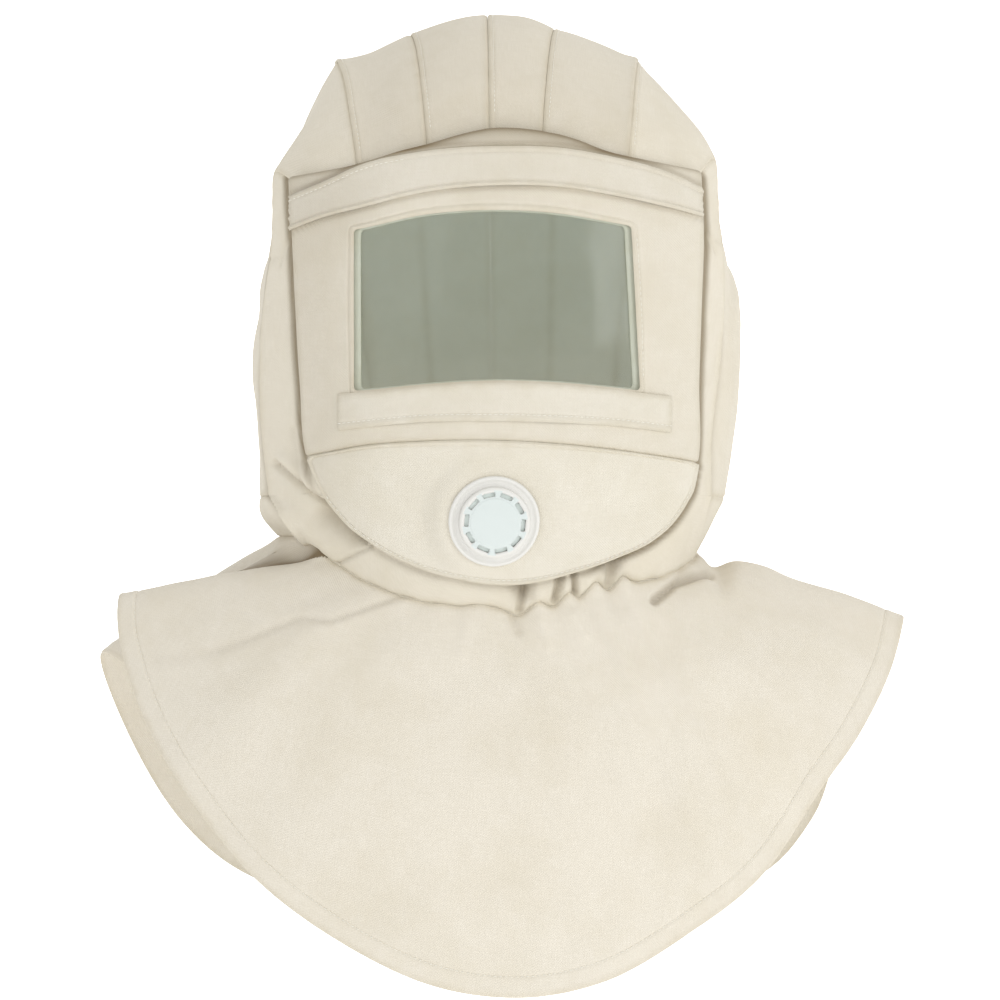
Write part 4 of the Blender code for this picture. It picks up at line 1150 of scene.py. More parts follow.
def weave_group():
    """Plain weave from a flat place in metres: the threads' height, and their uneven shade."""
    if "plain weave" in bpy.data.node_groups:
        return bpy.data.node_groups["plain weave"]
    tree, given, told = new_group(
        "plain weave", (("Place", "Vector"), ("Pitch", "Float")), (("Height", "Float"), ("Shade", "Float"))
    )
    warp = node(tree, "ShaderNodeTexNoise", {"Vector": given["Place"], "Scale": 260.0, "Detail": 1.0})
    bent = node(tree, "ShaderNodeVectorMath", {0: warp.outputs["Color"], 1: (0.0007, 0.0007, 0.0)}, operation="MULTIPLY")
    place = node(tree, "ShaderNodeVectorMath", {0: given["Place"], 1: bent.outputs[0]}, operation="ADD")
    axes = node(tree, "ShaderNodeSeparateXYZ", {0: place.outputs[0]})
    rate = maths(tree, "DIVIDE", math.pi, given["Pitch"])
    waves = [maths(tree, "SINE", maths(tree, "MULTIPLY", axes.outputs[k], rate)) for k in range(2)]
    crossing = maths(tree, "MULTIPLY", *waves)
    slubs = []
    for stretch in ((90.0, 1300.0, 1.0), (1200.0, 80.0, 1.0)):
        along = node(tree, "ShaderNodeVectorMath", {0: given["Place"], 1: stretch}, operation="MULTIPLY")
        slubs.append(node(tree, "ShaderNodeTexNoise", {"Vector": along.outputs[0], "Scale": 1.0, "Detail": 2.0}).outputs[0])
    slub = maths(tree, "ADD", *slubs)
    height = maths(tree, "ADD", maths(tree, "MULTIPLY", crossing, 0.5), maths(tree, "MULTIPLY", slub, 0.45))
    tree.links.new(height, told["Height"])
    tree.links.new(maths(tree, "ADD", maths(tree, "MULTIPLY", crossing, 0.10), maths(tree, "MULTIPLY", slub, 0.5)), told["Shade"])
    return tree


def handling_group():
    """Soft marks from handling: a mask that gathers in patches and along the seams."""
    if "handling marks" in bpy.data.node_groups:
        return bpy.data.node_groups["handling marks"]
    tree, given, told = new_group(
        "handling marks", (("Place", "Vector"), ("Seam", "Float")), (("Patches", "Float"), ("Creases", "Float"))
    )
    patches = node(tree, "ShaderNodeTexNoise", {"Vector": given["Place"], "Scale": 14.0, "Detail": 4.0, "Roughness": 0.6})
    mottle = node(tree, "ShaderNodeTexNoise", {"Vector": given["Place"], "Scale": 75.0, "Detail": 3.0, "Roughness": 0.6})
    near = node(
        tree,
        "ShaderNodeMapRange",
        {"Value": given["Seam"], "From Min": 0.0, "From Max": 0.006, "To Min": 1.0, "To Max": 0.0},
        interpolation_type="SMOOTHSTEP",
    )
    tree.links.new(maths(tree, "ADD", patches.outputs[0], maths(tree, "MULTIPLY", mottle.outputs[0], 0.4)), told["Patches"])
    tree.links.new(maths(tree, "MULTIPLY", near.outputs[0], mottle.outputs[0]), told["Creases"])
    return tree


def cloth_material(name, colour, pitch, grain=0.4, sheen=0.12):
    """Woven cloth of one colour, with uneven threads, faint marks and dust along its seams, and painted shade from a
    vertex layer.
    """
    material = bpy.data.materials.new(name)
    material.use_nodes = True
    tree = material.node_tree
    shader = tree.nodes["Principled BSDF"]
    flat = node(tree, "ShaderNodeUVMap", uv_map="cloth").outputs[0]
    body = node(tree, "ShaderNodeTexCoord").outputs["Object"]
    seam = node(tree, "ShaderNodeAttribute", attribute_name="seam").outputs["Fac"]
    weave = node(tree, "ShaderNodeGroup", node_tree=weave_group())
    tree.links.new(flat, weave.inputs["Place"])
    weave.inputs["Pitch"].default_value = pitch
    marks = node(tree, "ShaderNodeGroup", node_tree=handling_group())
    tree.links.new(body, marks.inputs["Place"])
    tree.links.new(seam, marks.inputs["Seam"])
    clean = tuple(colour)
    shaded = tuple(channel * share for channel, share in zip(colour, (0.80, 0.78, 0.72)))
    dusty = tuple(channel * share for channel, share in zip(colour, (0.90, 0.885, 0.84)))
    worn = tuple(channel * share for channel, share in zip(colour, (0.74, 0.70, 0.60)))
    # The colour of the deepest painted shade
    painted_shadow_colour = tuple(channel * share for channel, share in zip(colour, (0.27, 0.215, 0.14)))
    threads = node(
        tree,
        "ShaderNodeMix",
        {"Factor": node(tree, "ShaderNodeMapRange", {"Value": weave.outputs["Shade"], "From Min": 0.3, "From Max": 0.7}).outputs[0]},
        data_type="RGBA",
    )
    threads.inputs[6].default_value, threads.inputs[7].default_value = (*shaded, 1.0), (*clean, 1.0)
    threads_share = node(tree, "ShaderNodeMix", {"Factor": grain}, data_type="RGBA")
    threads_share.inputs[6].default_value = (*clean, 1.0)
    tree.links.new(threads.outputs[2], threads_share.inputs[7])
    patchy = node(
        tree,
        "ShaderNodeMix",
        {"Factor": node(tree, "ShaderNodeMapRange", {"Value": marks.outputs["Patches"], "From Min": 0.62, "From Max": 1.0}).outputs[0]},
        data_type="RGBA",
    )
    tree.links.new(threads_share.outputs[2], patchy.inputs[6])
    patchy.inputs[7].default_value = (*dusty, 1.0)
    edged = node(
        tree,
        "ShaderNodeMix",
        {"Factor": maths(tree, "MULTIPLY", marks.outputs["Creases"], 0.7)},
        data_type="RGBA",
    )
    tree.links.new(patchy.outputs[2], edged.inputs[6])
    edged.inputs[7].default_value = (*worn, 1.0)
    # Painted shade: the colour is mixed towards a dark one where the vertex layer says, standing in for shadow
    painted_shade = node(tree, "ShaderNodeAttribute", attribute_name="painted_shade").outputs["Fac"]
    with_painted_shade = node(tree, "ShaderNodeMix", {"Factor": painted_shade}, data_type="RGBA")
    tree.links.new(edged.outputs[2], with_painted_shade.inputs[6])
    with_painted_shade.inputs[7].default_value = (*painted_shadow_colour, 1.0)
    tree.links.new(with_painted_shade.outputs[2], shader.inputs["Base Color"])
    bump = node(tree, "ShaderNodeBump", {"Height": weave.outputs["Height"], "Strength": 0.5, "Distance": 0.0003})
    tree.links.new(bump.outputs[0], shader.inputs["Normal"])
    shader.inputs["Roughness"].default_value = 0.92
    shader.inputs["Specular IOR Level"].default_value = 0.2
    shader.inputs["Sheen Weight"].default_value = sheen
    shader.inputs["Sheen Roughness"].default_value = 0.6
    return material


def mottled_material(name, colour, other, size, roughness, bump_depth, uneven=0.5):
    """A smooth material whose colour drifts between two, with a fine uneven skin."""
    material = bpy.data.materials.new(name)
    material.use_nodes = True
    tree = material.node_tree
    shader = tree.nodes["Principled BSDF"]
    body = node(tree, "ShaderNodeTexCoord").outputs["Object"]
    drift = node(tree, "ShaderNodeTexNoise", {"Vector": body, "Scale": size, "Detail": 4.0, "Roughness": uneven})
    skin = node(tree, "ShaderNodeTexNoise", {"Vector": body, "Scale": 30 * size, "Detail": 2.0})
    mix = node(tree, "ShaderNodeMix", {"Factor": drift.outputs[0]}, data_type="RGBA")
    mix.inputs[6].default_value, mix.inputs[7].default_value = (*colour, 1.0), (*other, 1.0)
    tree.links.new(mix.outputs[2], shader.inputs["Base Color"])
    rough = node(
        tree,
        "ShaderNodeMapRange",
        {"Value": skin.outputs[0], "To Min": roughness * 0.85, "To Max": roughness * 1.15},
    )
    tree.links.new(rough.outputs[0], shader.inputs["Roughness"])
    bump = node(tree, "ShaderNodeBump", {"Height": skin.outputs[0], "Strength": 0.4, "Distance": bump_depth})
    tree.links.new(bump.outputs[0], shader.inputs["Normal"])
    return material


def canvas(name, tint=(1.0, 1.0, 1.0)):
    colours = bpy.context.scene.hood_colours
    sizes = bpy.context.scene.hood_sizes
    return cloth_material(name, [a * b for a, b in zip(colours.canvas, tint)], sizes.weave_pitch)


def thread():
    if "thread" in bpy.data.materials:
        return bpy.data.materials["thread"]
    colour = bpy.context.scene.hood_colours.thread
    return mottled_material("thread", colour, [channel * 0.9 for channel in colour], 90.0, 0.7, 0.00005)


def clear_material():
    material = bpy.data.materials.new("clear_sheet")
    material.use_nodes = True
    tree = material.node_tree
    shader = tree.nodes["Principled BSDF"]
    colour = bpy.context.scene.hood_colours.clear
    body = node(tree, "ShaderNodeTexCoord").outputs["Object"]
    haze = node(tree, "ShaderNodeTexNoise", {"Vector": body, "Scale": 22.0, "Detail": 5.0})
    mix = node(tree, "ShaderNodeMix", {"Factor": haze.outputs[0]}, data_type="RGBA")
    mix.inputs[6].default_value, mix.inputs[7].default_value = (*colour, 1.0), (*[c * 0.95 for c in colour], 1.0)
    tree.links.new(mix.outputs[2], shader.inputs["Base Color"])
    rough = node(tree, "ShaderNodeMapRange", {"Value": haze.outputs[0], "To Min": 0.02, "To Max": 0.12})
    tree.links.new(rough.outputs[0], shader.inputs["Roughness"])
    shader.inputs["Metallic"].default_value = 0.0
    shader.inputs["IOR"].default_value = 1.38
    shader.inputs["Transmission Weight"].default_value = 1.0
    return material


# The pieces


def crown_piece(number):
    local, along = grid_of(spread(GORE_COLUMNS, 0.7), spread(GORE_ROWS, 0.3))
    base = drawn_in(crown_points(number - 1, local, along))
    rows = {"left": TOPSTITCH, "right": 0.0, "top": 0.0, "bottom": 0.0}
    lap = np.zeros_like(along)
    outer_edges = {1: "left", len(GORE_AREAS): "right"}
    if number in outer_edges:
        away = edge_ways(base)[outer_edges[number]]
        lap = OUTER_LAP * np.exp(-((away / OUTER_LAP_REACH) ** 2)) * np.sqrt(np.sin(math.pi * along))
    # Painted shade, darkest at the brow
    painted_shade = BROW_PAINTED_SHADE * np.exp(-along / BROW_PAINTED_SHADE_REACH)
    return Sewn(base, from_core(base), rows, inward=toward_core(CANVAS), folds=lap, painted_shade=painted_shade)


def ear_rows():
    """Places down a side panel, with one at the ear corner."""
    above = EAR_WAY * spread(EAR_ROWS, 0.4)
    return np.concatenate([above[:-1], EAR_WAY + (1 - EAR_WAY) * spread(SIDE_ROWS - EAR_ROWS, 0.4)])


def side_piece(side):
    across, down = grid_of(spread(SIDE_COLUMNS, 0.6), ear_rows())
    base = drawn_in(side_points(side, across, down))
    rows = {"left": TOPSTITCH if side == "right" else 0.0, "right": 0.0, "top": 0.0, "bottom": 0.0}
    behind, below_ear = edge_ways(base)["right"], smooth_step((down - EAR_WAY - 0.1) / 0.2)
    tucked = np.exp(-((behind / GUSSET_LIP_WIDTH) ** 2)) * below_ear
    # Painted shade on the side panel behind the gusset's rear edge
    dark, reach = SIDE_PAINTED_SHADE[side]
    painted_shade = dark * np.exp(-((behind / reach) ** 2)) * below_ear
    return Sewn(base, from_core(base), rows, inward=toward_core(CANVAS), folds=-SIDE_TUCK * tucked, painted_shade=painted_shade)


def gusset_piece(side):
    across, down = grid_of(spread(GUSSET_COLUMNS, 0.6), spread(GUSSET_ROWS, 0.3))
    base = drawn_in(gusset_points(side, across, down))
    base[:, -1] = gusset_points(side, across, down)[:, -1]
    creases, crease_painted_shade = creased(base, (*GUSSET_CREASES, *BAND_CREASES))
    lip = GUSSET_LIP * np.exp(-((edge_ways(base)["right"] / GUSSET_LIP_WIDTH) ** 2)) * smooth_step(down / 0.4 - 0.6)
    rows = {"left": 0.0, "right": 0.0, "top": 0.0}
    return Sewn(
        base,
        from_core(base),
        rows,
        inward=toward_core(CANVAS),
        folds=creases + lip - BESIDE_FACE * beside_face(base),
        # painted shade in the creases and in the groove beside the face
        painted_shade=crease_painted_shade + groove_painted_shade(base),
    )


def neck_places(many, few):
    """Places round the neck from the back by the left, closer together in front."""
    back, front = SECTIONS / 2, SECTIONS * 0.3
    counts = (round(few * (back - front)), round(many * 2 * front), round(few * (back - front)))
    return stretches((-back, -front, front, back), counts)


def band_piece():
    places, down = grid_of(neck_places(40, 12), spread(BAND_ROWS, 0.5))
    plain = band_points(places, down)
    base = drawn_in(plain, columns=False)
    front = smooth_step((8.0 - from_front(places)) / 2.0)
    creases, crease_painted_shade = creased(base, BAND_CREASES)
    round_place = places % SECTIONS
    along = arc_lengths(base, 0)
    ridge, ridge_painted_shade = np.zeros_like(down), np.zeros_like(down)
    for side, key, way, turn, hold in (
        ("left", GUSSET_KEYS["left"][1] - SECTIONS, 1, RIDGE_TURN * np.sin(math.pi * down), 1.0),
        ("right", GUSSET_KEYS["right"][1], -1, 0.0, np.exp(-down / RIGHT_RIDGE_FADE)),
    ):
        past = (along - along[np.argmin(np.abs(places[:, 0] - key))]) * way - turn
        lip = np.exp(-((past / GUSSET_LIP_WIDTH) ** 2)) * hold
        # Painted shade on the cloth behind the gusset's rear edge
        dark, reach = SIDE_PAINTED_SHADE[side]
        ridge += np.where(past >= 0, GUSSET_LIP * lip, -SIDE_TUCK * lip)
        ridge_painted_shade += np.where(past <= 0, dark * np.exp(-((past / reach) ** 2)) * hold, 0.0)
        if side == "left":
            ridge += RIDGE_RISE * smooth_step(down / RIDGE_RAMP) * np.exp(-past / RIDGE_FADE) * (past >= 0)
    joined = ((round_place > GUSSET_KEYS["left"][1]) | (round_place < GUSSET_KEYS["right"][1])).astype(float)
    base[:, 0] = np.where(joined[:, :1] > 0, plain[:, 0], base[:, 0])
    return Sewn(
        base,
        from_core(base),
        {"top": 0.0, "bottom": 0.0},
        inward=toward_core(CANVAS),
        folds=creases * front + ridge - beside_face(base) * front * BESIDE_FACE,
        ring=True,
        # painted shade in the creases, in the groove by the chin and behind the gussets' edges
        painted_shade=(crease_painted_shade + groove_painted_shade(base)) * front + ridge_painted_shade,
        shows={"top": 1 - joined},
    )


def cape_places():
    """Places round the neck for the cape, closer together where its folds are."""
    stops = [place for place, _ in CAPE_COLUMNS] + [SECTIONS / 2]
    counts = [round(many * (end - start)) for (start, many), end in zip(CAPE_COLUMNS, stops[1:])]
    return stretches(stops, counts)


def cape_cut(base):
    """Where each point of the cape lies on the flat cloth that it was cut from, a wide ring with straight weave."""
    across, down = arc_lengths(base, 0)[:, :1], arc_lengths(base, 1)
    turn = (across - across[-1] / 2) / CAPE_RADIUS
    return (CAPE_RADIUS + down) * np.sin(turn), (CAPE_RADIUS + down) * np.cos(turn)


def cape_piece():
    down = stretches((0, 0.05, 0.25, 0.9, 1), (8, 28, 34, 26))
    places, down = grid_of(cape_places(), down)
    base = drawn_in(cape_points(places, down), columns=False)
    reach = np.where(places < 0, CREASE_REACH[0], CREASE_REACH[1])
    creases, crease_painted_shade = creased(base, CAPE_CREASES)
    near = smooth_step((reach - from_front(places)) / 0.8)
    place, turn, fade = SHOULDER_LINE
    behind = place + turn * np.exp(-down / fade) - places
    over = SHOULDER_LIP * np.exp(behind / SHOULDER_LIP_WIDTH) * (behind < 0)
    # Painted shadow of the front fold on the cape behind the shoulder line
    dark = SHOULDER_DARK * np.exp(-((behind / SHOULDER_DARK_WIDTH) ** 2))
    dark = dark + SHOULDER_SHADE * np.exp(-behind / SHOULDER_SHADE_WIDTH) * np.exp(-down / SHOULDER_SHADE_DOWN)
    shade = np.where(behind >= 0, dark, 0.0)
    sewn = Sewn(
        base,
        outward(places) + UP,
        {"top": 0.0, "bottom": HEM},
        inward=through_wall(CANVAS),
        folds=creases * near + over,
        ring=True,
        # painted shade in the creases and the painted shadow behind the shoulder fold
        painted_shade=crease_painted_shade * near + shade,
    )
    tuck = smooth_step((from_front(places[:, :1]) - 4.2) / 0.6)
    sewn.outer[:, 0] += tuck * (UP * CAPE_TUCK_UP - outward(places[:, 0]) * CAPE_TUCK_IN)
    sewn.inner[:, 0] = sewn.outer[:, 0] + seam_inward(places[:, 0], CANVAS)
    sewn.cut = cape_cut(base)
    return sewn


def square_loop(across, down, corner):
    """Places round a unit square's edge from its top left corner by the right, with its corners rounded off."""
    sides = [
        np.stack([across, 0 * across], axis=1)[:-1],
        np.stack([0 * down + 1, down], axis=1)[:-1],
        np.stack([across[::-1], 0 * across + 1], axis=1)[:-1],
        np.stack([0 * down, down[::-1]], axis=1),
    ]
    places = np.concatenate(sides)
    corner = np.array(corner)
    centre = np.clip(places, corner, 1 - corner)
    away = (places - centre) / corner
    away /= np.maximum(np.linalg.norm(away, axis=1, keepdims=True), 1e-9)
    return centre + away * corner


def face_ring(inner, outer, rings, front):
    """Points between two outlines on the face, each a corner radius with its lines and sides."""
    across, down = spread(FRAME_COLUMNS, 0.5), spread(FRAME_ROWS, 0.5)
    loops = []
    for corner, lines, sides in (inner, outer):
        places = square_loop(across, down, corner)
        loops.append(np.stack(face_place(places[:, 0], places[:, 1], lines, sides), axis=-1))
    share = rings[None, :, None]
    flat = loops[0][:, None] * (1 - share) + loops[1][:, None] * share
    return on_face(flat[..., 0], flat[..., 1], front)


# Painted shade: the face's cloth darker towards its left side, where less light falls
def left_shade(base):
    return LEFT_SHADE * smooth_step((-60.0 - base[..., 0]) / 60.0)


def panel_piece():
    window = (
        (0.014, 0.024),
        (face_line(WINDOW_TOP), face_line(WINDOW_BOTTOM)),
        (window_side(WINDOW_LEFT), window_side(WINDOW_RIGHT)),
    )
    edge = (
        (0.01, 0.012),
        (face_line(PANEL_TOP), face_line(PANEL_BOTTOM)),
        (lambda z: face_sections(z)[..., 1], lambda z: face_sections(z)[..., 2]),
    )
    base = face_ring(window, edge, stretches((0, 0.12, 0.85, 1), (10, 34, 12)), 0.0)
    above = smooth_step((base[..., 2] - face_lines(base[..., 0])[..., FLAP_TOP] + 3.0) / 6.0)
    roll = PANEL_ROLL * above * smooth_step((92.0 - np.abs(base[..., 0] + 12.0)) / 40.0)
    middle = smooth_step((125.0 - np.abs(base[..., 0])) / 60.0)
    top = face_lines(base[..., 0])[..., PANEL_TOP] - base[..., 2]
    # Painted shadow on the roll under the crown's edge, painted shade along both edges of the brow flap and towards the
    # left side
    painted_shade = above * (ROLL_PAINTED_SHADE * middle * np.exp(-((top / 8.0) ** 2)) + 0.35 * np.exp(-((top / 2.2) ** 2)) + 0.1)
    for line, way in ((FLAP_BOTTOM, 1.0), (FLAP_TOP, -1.0)):
        off = (face_lines(base[..., 0])[..., line] - base[..., 2]) * way
        painted_shade = painted_shade + FLAP_SHADE * np.exp(-(((off - FLAP_SHADE_WIDTH) / FLAP_SHADE_WIDTH) ** 2))
    painted_shade = painted_shade + left_shade(base)
    front = np.broadcast_to(np.array([0.0, -1.0, 0.0]), base.shape)
    return Sewn(
        base,
        front,
        {"top": WINDOW_STITCH, "bottom": 0.0},
        inward=toward_back(FACE_CLOTH),
        folds=roll,
        ring=True,
        flat=True,
        painted_shade=painted_shade,
    )


def strip_piece(lines, sides, columns, rows, front, thickness, edges, wrinkle=0.5, fray=0.0, lips=None):
    across, down = grid_of(spread(columns, 0.2), spread(rows, 0.4))
    x, z = face_place(across, down, lines, sides)
    base = on_face(x, z, front)
    if fray:
        ends = np.exp(-np.minimum(across, 1 - across) * 90.0)
        base[..., 0] += fray * ends * noise_field(base, 2.2)
    forward = np.broadcast_to(np.array([0.0, -1.0, 0.0]), base.shape)
    # Painted shade, darker towards the face's left side
    painted_shade = left_shade(base)
    return Sewn(base, forward, edges, inward=toward_back(thickness), wrinkle=wrinkle, flat=True, lips=lips, painted_shade=painted_shade)


def chin_piece():
    turn, out = grid_of(np.linspace(0, 2 * math.pi, CHIN_SPOKES + 1), stretches((-1, 0, 0.88, 1), (6, 20, 14)))
    seated = VALVE_HOLE_R + (VALVE_SEAT_R - VALVE_HOLE_R) * np.clip(out + 1, 0, 1)
    radius = seated + (chin_reach(turn) - VALVE_SEAT_R) * np.clip(out, 0, 1)
    x, z = VALVE_X + radius * np.sin(turn), VALVE_Z + radius * np.cos(turn)
    base = on_face(x, z, 0.0)
    base[-1] = base[0]
    forward = np.broadcast_to(np.array([0.0, -1.0, 0.0]), base.shape)
    return Sewn(
        base,
        forward,
        {"bottom": TOPSTITCH},
        inward=toward_back(FACE_CLOTH),
        ring=True,
        flat=True,
        lips={"bottom": 0.5},
        # painted shade, darker towards the face's left side
        painted_shade=left_shade(base),
    )


def valve_matrix():
    """Turns a shape made round Z so that Z runs out along the valve's axis, from the chin panel's outer side."""
    turn = Vector((0.0, 0.0, 1.0)).rotation_difference(Vector(valve_axis())).to_matrix().to_4x4()
    return Matrix.Translation(Vector(valve_seat() * MM)) @ turn


def turned(profile, steps, rounding):
    """A mesh turned round Z from a closed outline of (radius, height), its hard edges rounded."""
    bm = bmesh.new()
    loop = [bm.verts.new((radius * MM, 0.0, height * MM)) for radius, height in profile]
    edges = [bm.edges.new((loop[i - 1], loop[i])) for i in range(len(loop))]
    bmesh.ops.spin(
        bm,
        geom=loop + edges,
        cent=(0.0, 0.0, 0.0),
        axis=(0.0, 0.0, 1.0),
        angle=2 * math.pi,
        steps=steps,
        use_merge=True,
    )
    bmesh.ops.remove_doubles(bm, verts=bm.verts[:], dist=1e-6)
    bmesh.ops.recalc_face_normals(bm, faces=bm.faces[:])
    hard = [edge for edge in bm.edges if len(edge.link_faces) == 2 and edge.calc_face_angle() > math.radians(25)]
    bmesh.ops.bevel(
        bm, geom=hard, offset=rounding * MM, offset_type="OFFSET", segments=3, profile=0.5, affect="EDGES", material=-1
    )
    return bm


def slot_cutter():
    """One mesh of rounded bars where the valve cap's slots go through."""
    bm = bmesh.new()
    for number in range(VALVE_SLOTS):
        turn = Matrix.Rotation(2 * math.pi * number / VALVE_SLOTS, 4, "Z")
        bar = bmesh.ops.create_cube(bm, size=1.0)["verts"]
        bmesh.ops.scale(bm, verts=bar, vec=Vector((SLOT_WIDTH, SLOT_LENGTH, SLOT_DEPTH)) * MM)
        bmesh.ops.translate(bm, verts=bar, vec=Vector((SLOT_R * MM, 0.0, CAP_FRONT * MM)))
        bmesh.ops.rotate(bm, verts=bar, cent=(0.0, 0.0, 0.0), matrix=turn)
    upright = [edge for edge in bm.edges if abs((edge.verts[0].co - edge.verts[1].co).z) > 1e-4]
    bmesh.ops.bevel(bm, geom=upright, offset=0.9 * MM, offset_type="OFFSET", segments=3, profile=0.5, affect="EDGES", material=-1)
    return finish_object("slot_cutter", bm)


def cut_slots(obj):
    """Cut the slots through an object and keep the result as its mesh."""
    cutter = slot_cutter()
    cut = obj.modifiers.new("slots", "BOOLEAN")
    cut.operation, cut.solver, cut.object = "DIFFERENCE", "EXACT", cutter
    bpy.context.view_layer.update()
    made = bpy.data.meshes.new_from_object(obj.evaluated_get(bpy.context.evaluated_depsgraph_get()))
    obj.modifiers.clear()
    obj.data = made
    bpy.data.objects.remove(cutter, do_unlink=True)


def seat_valve_piece(obj, name):
    """Move an object made round Z onto the valve's axis, in its mesh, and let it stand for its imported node."""
    obj.data.transform(valve_matrix())
    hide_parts(name)


# The add-on


def size_property(name, description, default):
    return FloatProperty(name=name, description=description, default=default, min=0.0, subtype="DISTANCE", unit="LENGTH")


def colour_property(name, description, default):
    return FloatVectorProperty(name=name, description=description, default=default, size=3, min=0.0, max=1.0, subtype="COLOR")


class HoodSizes(PropertyGroup):
    """Sizes of the cloth's fine detail."""

    stitch_pitch: size_property("Stitch pitch", "From one stitch to the next", 0.0036)
    stitch_length: size_property("Stitch length", "Length of one stitch", 0.0028)
    thread_width: size_property("Thread width", "Thickness of the sewing thread", 0.0007)
    weave_pitch: size_property("Weave pitch", "From one thread of the canvas to the next", 0.0009)
    wrinkle_height: FloatProperty(name="Wrinkles", description="Strength of the canvas's soft dents", default=1.0, min=0.0)


class HoodColours(PropertyGroup):
    """Colours of the hood's materials, as linear red, green and blue."""

    canvas: colour_property("Canvas", "Unbleached canvas", (0.80, 0.745, 0.63))
    thread: colour_property("Thread", "Sewing thread", (0.88, 0.85, 0.76))
    binding: colour_property("Binding", "Tape round the window", (0.62, 0.65, 0.56))
    clear: colour_property("Clear sheet", "Tint of the window", (0.93, 0.97, 0.95))
    plastic: colour_property("Valve plastic", "Rim of the valve", (0.80, 0.79, 0.75))
    disc: colour_property("Valve disc", "Middle of the valve's cap", (0.70, 0.76, 0.74))
    rubber: colour_property("Membrane", "The valve's membrane", (0.80, 0.88, 0.85))
    paper: colour_property("Floor", "Studio paper", (0.93, 0.93, 0.93))


class HOOD_OT_crown(Operator):
    """Sew the four gores of the crown and the back."""

    bl_idname = "hood.crown"
    bl_label = "Crown"

    def execute(self, context):
        runs = []
        for number in range(1, 5):
            sewn = crown_piece(number)
            piece = bend_slab(f"gore_{number}", sewn, canvas(f"gore_{number}_cloth"))
            runs.append((sewn.line("left", TOPSTITCH), 0.03, 0.99))
            replace_cloth(
                f"crown_gore_{number}",
            )
        stitched_piece("crown_stitches", runs, thread())
        return {"FINISHED"}


class HOOD_OT_sides(Operator):
    """Sew the side panels and the gussets behind the face."""

    bl_idname = "hood.sides"
    bl_label = "Sides"

    def execute(self, context):
        runs = []
        for side in ("left", "right"):
            sewn = side_piece(side)
            piece = bend_slab(f"side_{side}", sewn, canvas(f"side_{side}_cloth"))
            replace_cloth(
                f"side_panel_{side}"
            )
            if side == "right":
                runs.append((sewn.line("left", TOPSTITCH), 0.03, 0.99))
            sewn = gusset_piece(side)
            piece = bend_slab(f"gusset_{side}_strip", sewn, canvas(f"gusset_{side}_cloth"))
            replace_cloth(
                f"gusset_{side}"
            )
        stitched_piece("side_stitches", runs, thread())
        return {"FINISHED"}


class HOOD_OT_band(Operator):
    """Sew the elasticated band round the neck."""

    bl_idname = "hood.band"
    bl_label = "Neck band"

    def execute(self, context):
        sewn = band_piece()
        piece = bend_slab("band", sewn, canvas("band_cloth"))
        replace_cloth("neck_band")
        return {"FINISHED"}


class HOOD_OT_cape(Operator):
    """Hang the shoulder cape with its hem."""

    bl_idname = "hood.cape"
    bl_label = "Cape"

    def execute(self, context):
        sewn = cape_piece()
        piece = bend_slab("shoulder_cape", sewn, canvas("cape_cloth", (1.03, 1.035, 1.06)))
        replace_cloth("cape")
        stitched_piece("cape_stitches", [(sewn.line("bottom", HEM),)], thread())
        return {"FINISHED"}


class HOOD_OT_face(Operator):
    """Sew the face panel, its brow flap and sill strip, and the chin panel."""

    bl_idname = "hood.face"
    bl_label = "Face"

    def execute(self, context):
        panel = panel_piece()
        piece = bend_slab("face", panel, canvas("face_cloth", (0.95, 0.955, 0.965)))
        replace_cloth("face_panel")
        flap = strip_piece(
            (face_line(FLAP_TOP), face_line(FLAP_BOTTOM)),
            (lambda z: FLAP_X[0] + 0 * z, lambda z: FLAP_X[1] + 0 * z),
            280,
            26,
            FLAP_CLOTH + LAYER_GAP,
            FLAP_CLOTH,
            {"top": TOPSTITCH, "bottom": 3.0, "left": 0.0, "right": 0.0},
            fray=1.6,
            lips={"bottom": 0.7},
        )
        piece = bend_slab("flap", flap, canvas("flap_cloth", (0.94, 0.95, 0.975)))
        replace_cloth("brow_flap")
        sill = strip_piece(
            (face_line(WINDOW_BOTTOM, -SILL_DROP), face_line(SILL_BOTTOM)),
            (lambda z: SILL_X[0] + 0 * z, lambda z: SILL_X[1] + 0 * z),
            240,
            26,
            CANVAS + LAYER_GAP,
            CANVAS,
            {"top": 0.0, "bottom": SILL_STITCH, "left": 0.0, "right": 0.0},
        )
        piece = bend_slab("sill", sill, canvas("sill_cloth", (0.96, 0.975, 1.0)))
        replace_cloth("sill_strip")
        chin = chin_piece()
        piece = bend_slab("chin", chin, canvas("chin_cloth", (0.99, 1.005, 1.03)))
        replace_cloth("chin_panel")
        runs = [
            (flap.line("top", TOPSTITCH), 0.0, 0.3),
            (sill.line("bottom", SILL_STITCH),),
            (chin.line("bottom", TOPSTITCH), 0.26, 0.74),
            (panel.line("top", WINDOW_STITCH), 0.33, 0.48),
        ]
        stitched_piece("face_stitches", runs, thread())
        return {"FINISHED"}


